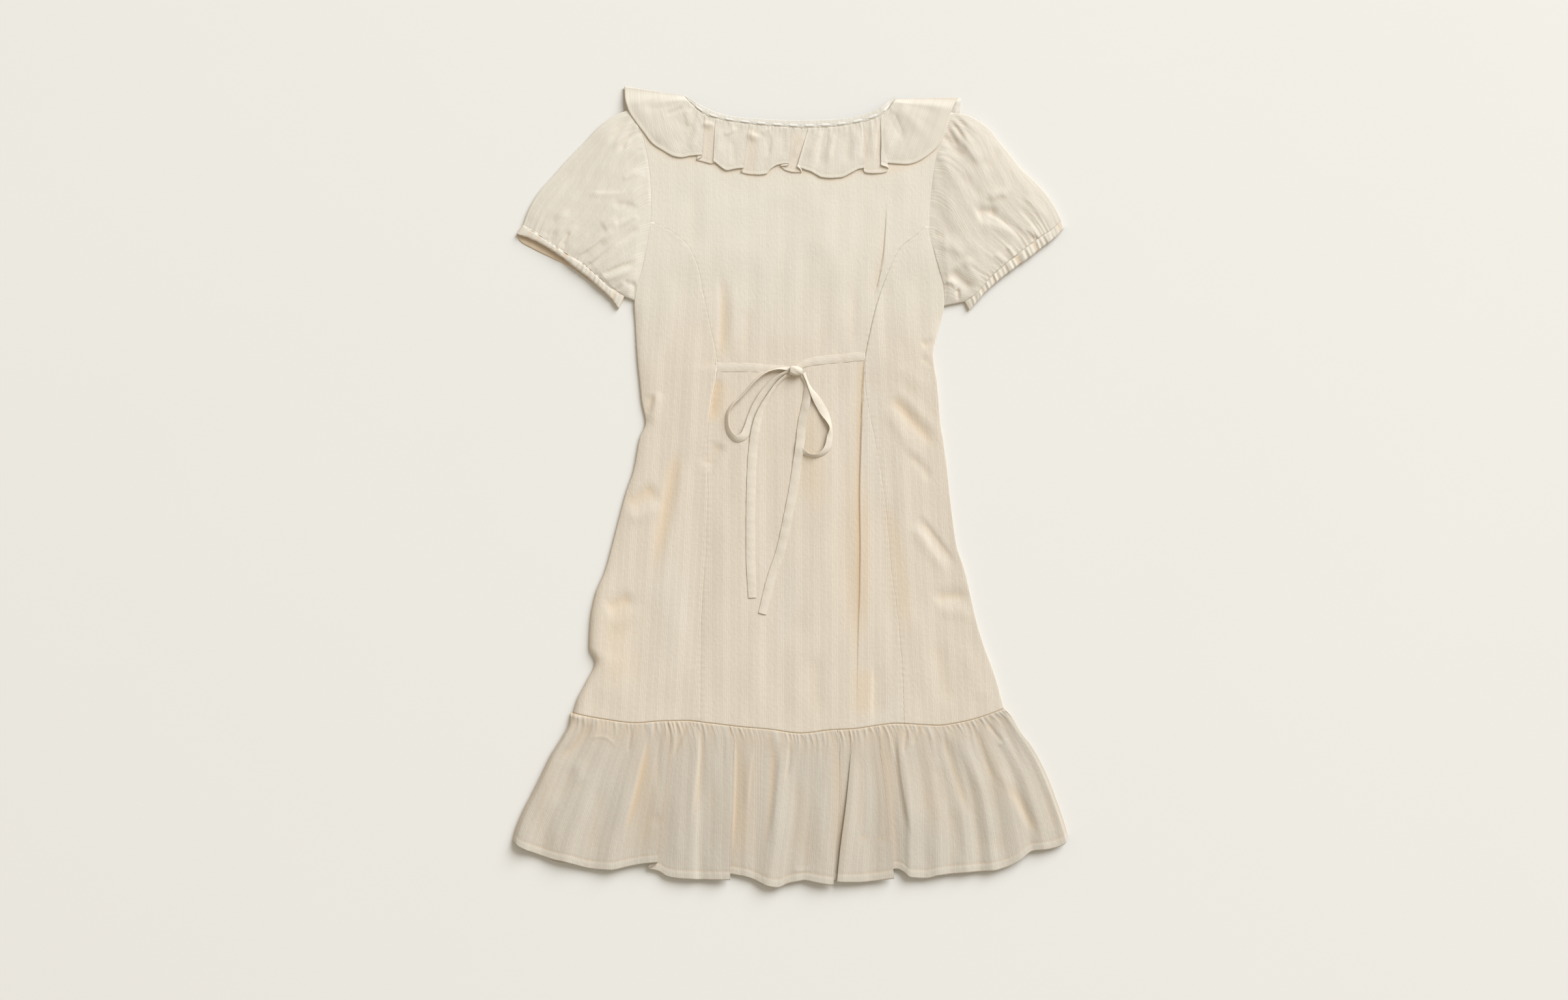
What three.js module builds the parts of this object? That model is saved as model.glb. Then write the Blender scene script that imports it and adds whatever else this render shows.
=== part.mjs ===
// Mini dress of cream striped cotton, laid out flat with its back up.
// Millimetres. X runs across the dress, Y from hem to neck, Z up from the surface it lies on.
import * as THREE from 'three';

// Driving sizes of the garment.
const CLOTH = 1.2; // wall of a single layer of cloth
const SEAM = 0.3; // space between two pieces at a seam
const LOFT = 2.1; // air between front and back of the body
const COLLAR_BED = 1.5; // how far the front collar lifts the front panel
const TIE_WALL = 1.3;
const TAPE_WALL = 1.2;
const SLEEVE_EDGE_HEIGHT = 2.6; // height of the folded edge of a sleeve
const SLEEVE_TOP = 6.2; // height of a sleeve's upper layer over the surface
const SLEEVE_HEAD = 4.8; // height of the same layer where it is sewn to the back
const CUFF_TOP = 6.6;
const CUFF_GATHERS = 17;
const HEAD_GATHERS = 11;
const HEM_GATHERS = 40;

const CREAM = 0xe6dcca;
const TIE_CREAM = 0xefe3cf;

const clamp = (value, low, high) => Math.min(high, Math.max(low, value));
const mix = (a, b, t) => a + (b - a) * t;
const soft = (t) => {
  const k = clamp(t, 0, 1);
  return k * k * (3 - 2 * k);
};

// A smooth curve through one column of a table, read along another column.
function column(rows, key, name) {
  const sorted = [...rows].sort((a, b) => a[key] - b[key]);
  const q = sorted.map((row) => row[key]);
  const p = sorted.map((row) => row[name]);
  const last = q.length - 1;
  const slope = q.map((_, i) => {
    if (i === 0) return (p[1] - p[0]) / (q[1] - q[0]);
    if (i === last) return (p[last] - p[last - 1]) / (q[last] - q[last - 1]);
    const before = (p[i] - p[i - 1]) / (q[i] - q[i - 1]);
    const after = (p[i + 1] - p[i]) / (q[i + 1] - q[i]);
    return before * after <= 0 ? 0 : (2 * before * after) / (before + after);
  });
  return (value) => {
    const at = clamp(value, q[0], q[last]);
    let i = 0;
    while (i < last - 1 && at > q[i + 1]) i += 1;
    const step = q[i + 1] - q[i];
    const t = (at - q[i]) / step;
    const t2 = t * t;
    const t3 = t2 * t;
    return (2 * t3 - 3 * t2 + 1) * p[i]
      + (t3 - 2 * t2 + t) * step * slope[i]
      + (3 * t2 - 2 * t3) * p[i + 1]
      + (t3 - t2) * step * slope[i + 1];
  };
}

// A line through the rows of a table, walked from 0 to 1 by its length.
function walk(rows) {
  const along = [0];
  for (let i = 1; i < rows.length; i += 1) {
    along.push(along[i - 1] + Math.hypot(rows[i].x - rows[i - 1].x, rows[i].y - rows[i - 1].y));
  }
  const total = along[along.length - 1];
  const marked = rows.map((row, i) => ({ ...row, s: along[i] / total }));
  const x = column(marked, 's', 'x');
  const y = column(marked, 's', 'y');
  return (s) => [x(s), y(s)];
}

// The surface held by four border lines: near and far run with u, left and right with v.
function patch(near, far, left, right) {
  const nearLeft = near(0);
  const nearRight = near(1);
  const farLeft = far(0);
  const farRight = far(1);
  return (u, v) => [0, 1].map((axis) => mix(near(u)[axis], far(u)[axis], v)
    + mix(left(v)[axis], right(v)[axis], u)
    - mix(mix(nearLeft[axis], nearRight[axis], u), mix(farLeft[axis], farRight[axis], u), v));
}

function solid(name, points, faces, colour) {
  const position = new Float32Array(points.flat());
  let volume = 0;
  for (const [a, b, c] of faces) {
    const [p, q, r] = [points[a], points[b], points[c]];
    volume += p[0] * (q[1] * r[2] - q[2] * r[1])
      - p[1] * (q[0] * r[2] - q[2] * r[0])
      + p[2] * (q[0] * r[1] - q[1] * r[0]);
  }
  const index = volume < 0 ? faces.map(([a, b, c]) => [a, c, b]) : faces;
  const geometry = new THREE.BufferGeometry();
  geometry.setAttribute('position', new THREE.BufferAttribute(position, 3));
  geometry.setIndex(index.flat());
  geometry.computeVertexNormals();
  const material = new THREE.MeshStandardMaterial({ color: colour, roughness: 0.85, metalness: 0 });
  const mesh = new THREE.Mesh(geometry, material);
  mesh.name = name;
  return mesh;
}

// A layer of cloth: an upper and a lower grid of points, closed round its four edges.
function layer(name, across, along, upper, lower, colour = CREAM) {
  const points = [];
  const faces = [];
  for (const side of [upper, lower]) {
    for (let j = 0; j < along.length; j += 1) {
      for (let i = 0; i < across.length; i += 1) {
        points.push(side(across[i], along[j]));
      }
    }
  }
  const wide = across.length;
  const size = wide * along.length;
  const quad = (a, b, c, d) => faces.push([a, b, c], [a, c, d]);
  for (let j = 0; j < along.length - 1; j += 1) {
    for (let i = 0; i < wide - 1; i += 1) {
      const a = j * wide + i;
      quad(a, a + 1, a + wide + 1, a + wide);
      quad(size + a, size + a + wide, size + a + wide + 1, size + a + 1);
    }
  }
  for (let i = 0; i < wide - 1; i += 1) {
    const far = size - wide + i;
    quad(i, size + i, size + i + 1, i + 1);
    quad(far + 1, size + far + 1, size + far, far);
  }
  for (let j = 0; j < along.length - 1; j += 1) {
    const a = j * wide;
    const b = a + wide - 1;
    quad(a + wide, size + a + wide, size + a, a);
    quad(b, size + b, size + b + wide, b + wide);
  }
  return solid(name, points, faces, colour);
}

// A tube of cloth: closed rings of outer and inner points, joined at both open ends.
function tube(name, rings, along, outer, inner, colour = CREAM) {
  const points = [];
  const faces = [];
  for (const side of [outer, inner]) {
    for (let j = 0; j < along.length; j += 1) {
      for (let i = 0; i < rings.length; i += 1) {
        points.push(side(rings[i], along[j]));
      }
    }
  }
  const round = rings.length;
  const size = round * along.length;
  const quad = (a, b, c, d) => faces.push([a, b, c], [a, c, d]);
  for (let j = 0; j < along.length - 1; j += 1) {
    for (let i = 0; i < round; i += 1) {
      const a = j * round + i;
      const b = j * round + ((i + 1) % round);
      quad(a, b, b + round, a + round);
      quad(size + a, size + a + round, size + b + round, size + b);
    }
  }
  const end = size - round;
  for (let i = 0; i < round; i += 1) {
    const n = (i + 1) % round;
    quad(i, size + i, size + n, n);
    quad(end + n, size + end + n, size + end + i, end + i);
  }
  return solid(name, points, faces, colour);
}

const steps = (count, from = 0, to = 1) => Array.from(
  { length: count + 1 },
  (_, i) => from + ((to - from) * i) / count,
);

// Body: one row for each level, with its side edges, its two long seams and the lapped fold.
const LEVELS = [
  { y: 454, left: -195, seamLeft: -166, fold: 117, seamRight: 166, right: 199 },
  { y: 427, left: -179, seamLeft: -166, fold: 117, seamRight: 166, right: 186 },
  { y: 402, left: -172, seamLeft: -166, fold: 117, seamRight: 166, right: 176 },
  { y: 376, left: -168, seamLeft: -166, fold: 117, seamRight: 166, right: 171 },
  { y: 349, left: -166, seamLeft: -165, fold: 116, seamRight: 166, right: 168 },
  { y: 317, left: -166.5, seamLeft: -163, fold: 114.6, seamRight: 164, right: 165.8 },
  { y: 304, left: -168.6, seamLeft: -140, fold: 113.8, seamRight: 154, right: 165.7 },
  { y: 286, left: -171.6, seamLeft: -121, fold: 112.6, seamRight: 132, right: 170 },
  { y: 260, left: -177, seamLeft: -109.5, fold: 109, seamRight: 118.5, right: 177.4 },
  { y: 236, left: -184, seamLeft: -105, fold: 103.5, seamRight: 109, right: 183.7 },
  { y: 217, left: -186.3, seamLeft: -101, fold: 99.5, seamRight: 103, right: 184 },
  { y: 193, left: -185, seamLeft: -96, fold: 95.5, seamRight: 97, right: 179 },
  { y: 158, left: -183, seamLeft: -88.5, fold: 89.3, seamRight: 90, right: 171 },
  { y: 146, left: -182, seamLeft: -87.2, fold: 88.3, seamRight: 88.5, right: 172 },
  { y: 128, left: -180, seamLeft: -89, fold: 87.6, seamRight: 89, right: 175 },
  { y: 103, left: -177.5, seamLeft: -94, fold: 86.3, seamRight: 92, right: 177.5 },
  { y: 77, left: -172.8, seamLeft: -97.6, fold: 85.5, seamRight: 97, right: 179.4 },
  { y: 58, left: -179.8, seamLeft: -99, fold: 84.9, seamRight: 101, right: 182.5 },
  { y: 21, left: -186.8, seamLeft: -99.5, fold: 83.8, seamRight: 108, right: 187.5 },
  { y: -7, left: -196.2, seamLeft: -98.7, fold: 83.2, seamRight: 112, right: 190.4 },
  { y: -39, left: -204.8, seamLeft: -99.6, fold: 83.5, seamRight: 115.8, right: 194.2 },
  { y: -72, left: -213.3, seamLeft: -100.5, fold: 83.9, seamRight: 118.5, right: 199.3 },
  { y: -100, left: -221.1, seamLeft: -102.5, fold: 83.5, seamRight: 121, right: 208.6 },
  { y: -128, left: -232.8, seamLeft: -104.5, fold: 83.2, seamRight: 125, right: 215 },
  { y: -160, left: -239.1, seamLeft: -106.3, fold: 82, seamRight: 129.3, right: 222.3 },
  { y: -192, left: -240.6, seamLeft: -106.8, fold: 81.2, seamRight: 132, right: 232.1 },
  { y: -210, left: -233.6, seamLeft: -107, fold: 80.9, seamRight: 133.8, right: 239 },
  { y: -233, left: -243.8, seamLeft: -107.2, fold: 80.6, seamRight: 135, right: 246.7 },
  { y: -256, left: -255.5, seamLeft: -107.2, fold: 80.3, seamRight: 135.7, right: 252.9 },
  { y: -290, left: -264, seamLeft: -107.2, fold: 80, seamRight: 136.1, right: 261 },
];
const leftEdge = column(LEVELS, 'y', 'left');
const rightEdge = column(LEVELS, 'y', 'right');
const seamLeft = column(LEVELS, 'y', 'seamLeft');
const seamRight = column(LEVELS, 'y', 'seamRight');
const foldLine = column(LEVELS, 'y', 'fold');

// Waist to hem seam: where the body ends and the ruffle is gathered on.
const HEM_SEAM = [
  { x: -264, y: -270 },
  { x: -226, y: -278 },
  { x: -184.5, y: -282.8 },
  { x: -152.5, y: -280.6 },
  { x: -125, y: -280.2 },
  { x: -93, y: -283.5 },
  { x: -61, y: -287.4 },
  { x: -24.6, y: -290.6 },
  { x: 12, y: -295.2 },
  { x: 49, y: -291.3 },
  { x: 77, y: -289.8 },
  { x: 104, y: -285.9 },
  { x: 127, y: -283.5 },
  { x: 177, y: -285.9 },
  { x: 200, y: -282.8 },
  { x: 223, y: -277.3 },
  { x: 258, y: -264.5 },
];
const hemSeam = column(HEM_SEAM, 'x', 'y');

// Top edge of the back: shoulder, neck seam, shoulder.
const BACK_NECK = [
  { x: -196, y: 450 },
  { x: -126, y: 460 },
  { x: -115, y: 452.5 },
  { x: -98, y: 443.4 },
  { x: -74, y: 437.7 },
  { x: -46, y: 433.8 },
  { x: -18, y: 431.3 },
  { x: 18, y: 429.2 },
  { x: 47, y: 430.3 },
  { x: 76, y: 434.1 },
  { x: 98, y: 439.7 },
  { x: 115, y: 447.6 },
  { x: 125, y: 457 },
  { x: 200, y: 446 },
];
const backTop = column(BACK_NECK, 'x', 'y');

const FRONT_NECK = [
  { x: -196, y: 450 },
  { x: -126, y: 459 },
  { x: -112, y: 428 },
  { x: -84, y: 392 },
  { x: -44, y: 366 },
  { x: 0, y: 358 },
  { x: 44, y: 366 },
  { x: 84, y: 392 },
  { x: 112, y: 428 },
  { x: 125, y: 456 },
  { x: 200, y: 446 },
];
const frontTop = column(FRONT_NECK, 'x', 'y');

// Soft folds of the back. Each runs from one end to the other; a hollow has a height below 0.
const SOFT_FOLDS = [
  { x1: -160, y1: 108, x2: -152, y2: 86, width: 11, height: -1.5 },
  { x1: -190, y1: -12, x2: -162, y2: -18, width: 13, height: -1.4 },
  { x1: -134, y1: 62, x2: -160, y2: -84, width: 12, height: 1.5 },
  { x1: -222, y1: -140, x2: -196, y2: -142, width: 13, height: -1.4 },
  { x1: -120, y1: 200, x2: -130, y2: 96, width: 13, height: 1.3 },
  { x1: -150, y1: 170, x2: -158, y2: 60, width: 11, height: 1.2 },
  { x1: 122, y1: 110, x2: 182, y2: 40, width: 9, height: 1.6 },
  { x1: 142, y1: 44, x2: 172, y2: 4, width: 8, height: -1.3 },
  { x1: 152, y1: -36, x2: 200, y2: -98, width: 9, height: 1.5 },
  { x1: 178, y1: -136, x2: 214, y2: -136, width: 12, height: -1.5 },
  { x1: 162, y1: 176, x2: 158, y2: 140, width: 7, height: -1.4 },
  { x1: -86, y1: 58, x2: -70, y2: 20, width: 9, height: 1.3 },
  { x1: -60, y1: 130, x2: -66, y2: -40, width: 12, height: 1.1 },
  { x1: -22, y1: 138, x2: -14, y2: -120, width: 15, height: 1.2 },
  { x1: 34, y1: 134, x2: 46, y2: -200, width: 15, height: 1.3 },
  { x1: -52, y1: -60, x2: -60, y2: -280, width: 17, height: 1.3 },
  { x1: 8, y1: -90, x2: 4, y2: -285, width: 17, height: -1.2 },
  { x1: 150, y1: -120, x2: 168, y2: -280, width: 14, height: 1.4 },
  { x1: 200, y1: -170, x2: 222, y2: -262, width: 13, height: -1.2 },
  { x1: -150, y1: -120, x2: -152, y2: -270, width: 16, height: 1.4 },
  { x1: -200, y1: -180, x2: -214, y2: -270, width: 14, height: 1.3 },
  { x1: -58, y1: 300, x2: -50, y2: 150, width: 17, height: 1.1 },
  { x1: 16, y1: 330, x2: 14, y2: 160, width: 19, height: 1 },
  { x1: 66, y1: 300, x2: 62, y2: 158, width: 15, height: 1.1 },
];
function softFolds(x, y) {
  let height = 0;
  for (const fold of SOFT_FOLDS) {
    const dx = fold.x2 - fold.x1;
    const dy = fold.y2 - fold.y1;
    const length = Math.hypot(dx, dy);
    const t = ((x - fold.x1) * dx + (y - fold.y1) * dy) / (length * length);
    const off = ((x - fold.x1) * dy - (y - fold.y1) * dx) / length;
    const ends = soft(t / 0.3) * soft((1 - t) / 0.3);
    height += fold.height * ends * Math.exp(-((off / fold.width) ** 2));
  }
  return clamp(height, -1.7, 1.6);
}

// The front collar lies under the chest and lifts what is above it.
const bed = (x, y) => COLLAR_BED * soft((y - 228) / 62) * soft((256 - Math.abs(x)) / 46);
const armholeShare = (y) => soft((y - 196) / 40);

// Underside and upper side of the back, worked out for any place on it.
function backUnder(x, y) {
  const toEdge = Math.min(x - leftEdge(y), rightEdge(y) - x);
  const rise = mix(1 - Math.exp(-Math.max(toEdge, 0) / 9), 1, armholeShare(y));
  const calm = soft((372 - y) / 30);
  return bed(x, y) + CLOTH + SEAM + LOFT * rise + 0.8 * softFolds(x, y) * rise * calm;
}
function backOver(x, y) {
  const toFold = x - foldLine(y);
  const lap = 1.5 * soft((toFold + 1.5) / 3) * Math.exp(-Math.max(toFold, 0) / 40);
  const shown = soft((y + 250) / 60) * soft((330 - y) / 40);
  const calm = soft((372 - y) / 30);
  const gathers = 0.5 * Math.max(0, softFolds(x, y)) * calm;
  return backUnder(x, y) + CLOTH + clamp(lap * shown + gathers, 0, 1.7);
}

// Levels at which the three pieces of the back are worked out, so that they meet at the seams.
const BACK_LEVELS = [
  -283, -270, -248, -222, -194, -164, -134, -104, -74, -44, -14, 14, 40, 64, 88, 112, 134, 150,
  168, 190, 212, 234, 252, 266, 278, 288, 297, 305, 311,
];
const HEM_LEVEL = BACK_LEVELS[0];
const foot = (level) => soft(1 - (level - HEM_LEVEL) / 62);
function sidePiece(name, levels, from, to) {
  const place = (u, level) => {
    const first = mix(from(level), to(level), u);
    const y = level + foot(level) * (hemSeam(first) - HEM_LEVEL);
    return [mix(from(y), to(y), u), y];
  };
  const at = (height) => (u, level) => {
    const [x, y] = place(u, level);
    return [x, y, height(x, y)];
  };
  return layer(name, steps(6), levels, at(backOver), at(backUnder));
}

// Side pieces of the back, from the hem seam up into the armhole.
const backSideLeft = sidePiece(
  'back_side_left',
  [...BACK_LEVELS, 316],
  leftEdge,
  (y) => seamLeft(y) - SEAM / 2,
);
const backSideRight = sidePiece(
  'back_side_right',
  BACK_LEVELS,
  (y) => seamRight(y) + SEAM / 2,
  rightEdge,
);

// Centre of the back. It widens to both armholes over the long seams and ends at the neck seam.
const CENTRE_COLUMNS = 14;
const centreSide = (seam, edge, top, side) => (y) => mix(
  seam(y) + (side * SEAM) / 2,
  edge(y),
  soft((y - top) / 4),
);
const centreLeft = centreSide(seamLeft, leftEdge, 317, 1);
const centreRight = centreSide(seamRight, rightEdge, 312, -1);
const CENTRE_LEVELS = [...BACK_LEVELS, 316, 322, 338, 356, 376, 396, 412, 426, 438, 446, 450];
const NECK_LEVEL = 450;
function centrePlace(u, level) {
  const inFold = Math.min(foldLine(level), centreRight(level) - 8);
  const width = centreRight(level) - centreLeft(level);
  const foldShare = (inFold - centreLeft(level)) / width;
  const before = 10 / CENTRE_COLUMNS;
  const after = 11 / CENTRE_COLUMNS;
  const half = 1.6 / width;
  let share = 0;
  if (u <= before + 1e-9) share = (u / before) * (foldShare - half);
  else if (u <= after + 1e-9) share = foldShare + half;
  else share = mix(foldShare + half, 1, (u - after) / (1 - after));
  const first = mix(centreLeft(level), centreRight(level), share);
  const head = soft((level - 322) / (NECK_LEVEL - 322));
  const y = level
    + foot(level) * (hemSeam(first) - HEM_LEVEL)
    + head * (backTop(first) - NECK_LEVEL);
  return [mix(centreLeft(y), centreRight(y), share), y];
}
const backCentre = layer(
  'back_centre',
  steps(CENTRE_COLUMNS),
  CENTRE_LEVELS,
  (u, v) => {
    const [x, y] = centrePlace(u, v);
    return [x, y, backOver(x, y)];
  },
  (u, v) => {
    const [x, y] = centrePlace(u, v);
    return [x, y, backUnder(x, y)];
  },
);

// Front of the body. It rests on the surface and lies on the front collar at the chest.
const FRONT_INSET = 0.8;
const frontIn = (y) => FRONT_INSET + 2 * soft((y - 400) / 30);
const frontRows = [0, 0.02, ...steps(13, 0.06, 0.7), 0.75, 0.8, 0.85, 0.9, 0.95, 1];
function frontPlace(u, v) {
  const low = HEM_LEVEL;
  const plain = mix(low, 450, v);
  let x = mix(leftEdge(plain) + FRONT_INSET, rightEdge(plain) - FRONT_INSET, u);
  const head = soft((v - 0.6) / 0.4);
  const y = plain + foot(plain) * (hemSeam(x) - low) + head * (frontTop(x) - 450);
  x = mix(leftEdge(y) + frontIn(y), rightEdge(y) - frontIn(y), u);
  return [x, y];
}
const frontPanel = layer(
  'front_panel',
  steps(13),
  frontRows,
  (u, v) => {
    const [x, y] = frontPlace(u, v);
    return [x, y, bed(x, y) + CLOTH];
  },
  (u, v) => {
    const [x, y] = frontPlace(u, v);
    return [x, y, bed(x, y)];
  },
);

// Sleeves: puffed tubes pressed flat. A row for each point of the fold edge and of the cuff seam.
const SLEEVES = {
  left: {
    side: -1,
    fold: [
      { x: -197.7, y: 451 },
      { x: -212.8, y: 445 },
      { x: -230.6, y: 432.7 },
      { x: -248.6, y: 413 },
      { x: -266.5, y: 394.3 },
      { x: -284.4, y: 373.5 },
      { x: -302.2, y: 352.2 },
      { x: -313.2, y: 332.7 },
      { x: -320.2, y: 312.4 },
    ],
    cuffSeam: [
      { x: -320.2, y: 312.4 },
      { x: -304.1, y: 303.8 },
      { x: -279, y: 286.5 },
      { x: -261.1, y: 275.1 },
      { x: -245, y: 265.2 },
      { x: -230.6, y: 252.7 },
      { x: -218.2, y: 241 },
      { x: -198.5, y: 227.5 },
    ],
    cuffEdge: [
      { x: -327.4, y: 302.2 },
      { x: -311.6, y: 297 },
      { x: -293.7, y: 288 },
      { x: -275.7, y: 276.5 },
      { x: -257.8, y: 262.5 },
      { x: -239.8, y: 248.4 },
      { x: -227.4, y: 237.5 },
      { x: -212.8, y: 223.5 },
      { x: -205.5, y: 213.3 },
    ],
    underEdge: [
      { x: -327.4, y: 302.2 },
      { x: -324.5, y: 295.2 },
      { x: -307.7, y: 284.8 },
      { x: -284.3, y: 273.4 },
      { x: -263.2, y: 263 },
      { x: -246.9, y: 251.5 },
      { x: -230.5, y: 238.2 },
      { x: -212.8, y: 222.6 },
      { x: -205.5, y: 213.3 },
    ],
    hollows: [
      { u: 0.32, v: 0.62, wide: 0.16, long: 0.2, depth: 0.8 },
      { u: 0.7, v: 0.4, wide: 0.18, long: 0.25, depth: 0.7 },
    ],
  },
  right: {
    side: 1,
    fold: [
      { x: 201, y: 447 },
      { x: 213.3, y: 446 },
      { x: 225.8, y: 440.7 },
      { x: 242.2, y: 429.1 },
      { x: 253, y: 414.7 },
      { x: 267.2, y: 396.9 },
      { x: 279.6, y: 380.7 },
      { x: 294.1, y: 366.4 },
      { x: 306.6, y: 352.2 },
      { x: 317.4, y: 335.9 },
      { x: 324.6, y: 319.4 },
    ],
    cuffSeam: [
      { x: 324.6, y: 319.4 },
      { x: 313.8, y: 308.2 },
      { x: 301.2, y: 300.1 },
      { x: 279.6, y: 284 },
      { x: 254.7, y: 264.3 },
      { x: 242.2, y: 253.6 },
      { x: 231.3, y: 241 },
      { x: 222.5, y: 231.3 },
      { x: 208.7, y: 221.1 },
    ],
    cuffEdge: [
      { x: 328, y: 310.1 },
      { x: 318, y: 299 },
      { x: 306.6, y: 290 },
      { x: 288.8, y: 276 },
      { x: 270.8, y: 263 },
      { x: 253, y: 249.5 },
      { x: 235, y: 233.9 },
      { x: 224.2, y: 222 },
      { x: 214, y: 210.6 },
    ],
    hollows: [
      { u: 0.4, v: 0.7, wide: 0.14, long: 0.18, depth: 0.9 },
      { u: 0.72, v: 0.42, wide: 0.16, long: 0.24, depth: 0.8 },
    ],
  },
};

// Places round a flattened tube: out along the upper layer, back along the lower one.
const SLEEVE_UPPER = 44;
const SLEEVE_LOWER = 8;
const ringPlaces = (upper, lower) => [
  ...Array.from({ length: upper }, (_, i) => ({ u: i / upper, top: true })),
  ...Array.from({ length: lower }, (_, i) => ({ u: 1 - i / lower, top: false })),
];
const arch = (u) => (1 - Math.abs(2 * clamp(u, 0, 1) - 1) ** 8) ** (1 / 5);
const sleeveAlong = [0, 0.08, 0.19, 0.34, 0.52, 0.72, 0.89, 1];

function sleeve(name, plan) {
  const edge = plan.side < 0 ? leftEdge : rightEdge;
  const underarm = plan.side < 0 ? 222 : 216;
  const shoulder = plan.fold[0].y;
  const armhole = walk(steps(12).map((s) => {
    const y = mix(shoulder, underarm, s);
    return { x: edge(y) + plan.side * (SEAM + 0.2), y };
  }));
  const foldEdge = walk(plan.fold);
  const cuffSeam = walk(plan.cuffSeam);
  const [ax, ay] = armhole(1);
  const [cx, cy] = cuffSeam(1);
  const under = (v) => [mix(ax, cx, v), mix(ay, cy, v)];
  const start = armhole(0);
  const head = foldEdge(0);
  const shift = [start[0] - head[0], start[1] - head[1]];
  const outEdge = (v) => foldEdge(v).map((value, axis) => value + shift[axis] * (1 - v));
  const place = patch(armhole, cuffSeam, outEdge, under);
  const wide = (v) => {
    const a = place(0, v);
    const b = place(1, v);
    return Math.max(Math.hypot(a[0] - b[0], a[1] - b[1]), 20);
  };
  const gathers = (u, v) => {
    const atHead = soft((v - 0.02) / 0.1) * Math.exp(-((v / 0.34) ** 2));
    const atCuff = Math.exp(-(((1 - v) / 0.26) ** 2));
    const headWave = 0.5 + 0.5 * Math.cos(Math.PI * 2 * HEAD_GATHERS * u + 1.1);
    const cuffWave = 0.5 + 0.5 * Math.cos(Math.PI * 2 * HEAD_GATHERS * u + 2.4);
    return 1.6 * Math.max(atHead * headWave, atCuff * cuffWave);
  };
  const sink = (u, v) => plan.hollows.reduce((sum, hollow) => {
    const across = (u - hollow.u) / hollow.wide;
    const along = (v - hollow.v) / hollow.long;
    return sum + hollow.depth * Math.exp(-(across ** 2) - along ** 2);
  }, 0);
  const point = (ring, v, inner) => {
    const inset = inner ? CLOTH / wide(v) : 0;
    const u = mix(inset, 1 - inset, ring.u);
    const [x, y] = place(u, v);
    const wall = inner ? CLOTH : 0;
    const round = arch(ring.u);
    let z = SLEEVE_EDGE_HEIGHT;
    if (ring.top) {
      const top = mix(SLEEVE_HEAD, SLEEVE_TOP, soft(v / 0.25));
      const full = top - sink(u, v) - SLEEVE_EDGE_HEIGHT - wall;
      z += full * round + (inner ? 0 : gathers(u, v) * round);
    } else {
      z -= (SLEEVE_EDGE_HEIGHT - wall) * round;
    }
    return [x, y, z + bed(x, y)];
  };
  return tube(
    name,
    ringPlaces(SLEEVE_UPPER, SLEEVE_LOWER),
    sleeveAlong,
    (ring, v) => point(ring, v, false),
    (ring, v) => point(ring, v, true),
  );
}

// Cuffs: narrow tubes gathered on elastic, with a rounded pucker for each gather. The lower
// layer of the left one shows a little beyond the upper one.
function cuff(name, plan) {
  const near = walk(plan.cuffSeam);
  const upperFar = walk(plan.cuffEdge);
  const lowerFar = walk(plan.underEdge ?? plan.cuffEdge);
  const out = (s, v, top) => {
    const a = near(s);
    const b = top ? upperFar(s) : lowerFar(s);
    const length = Math.hypot(b[0] - a[0], b[1] - a[1]);
    const t = mix(SEAM / length, 1, v);
    return [mix(a[0], b[0], t), mix(a[1], b[1], t)];
  };
  const wide = 150;
  const point = (ring, v, inner) => {
    const inset = inner ? CLOTH / wide : 0;
    const u = mix(inset, 1 - inset, ring.u);
    const [x, y] = out(u, v, ring.top);
    const wall = inner ? CLOTH : 0;
    const round = arch(ring.u);
    const belly = 1 - (2 * v - 1) ** 2;
    const pucker = 0.5 + 0.5 * Math.cos(Math.PI * 2 * CUFF_GATHERS * u);
    let z = SLEEVE_EDGE_HEIGHT;
    if (ring.top) {
      z += (CUFF_TOP - SLEEVE_EDGE_HEIGHT - wall - 0.5) * round;
      z += inner ? 0 : (1.3 * pucker * (0.4 + 0.6 * belly)) * round;
    } else {
      z -= (SLEEVE_EDGE_HEIGHT - wall) * round;
    }
    return [x, y, z];
  };
  return tube(
    name,
    ringPlaces(CUFF_GATHERS * 3, SLEEVE_LOWER),
    [0, 0.5, 1],
    (ring, v) => point(ring, v, false),
    (ring, v) => point(ring, v, true),
  );
}

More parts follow.
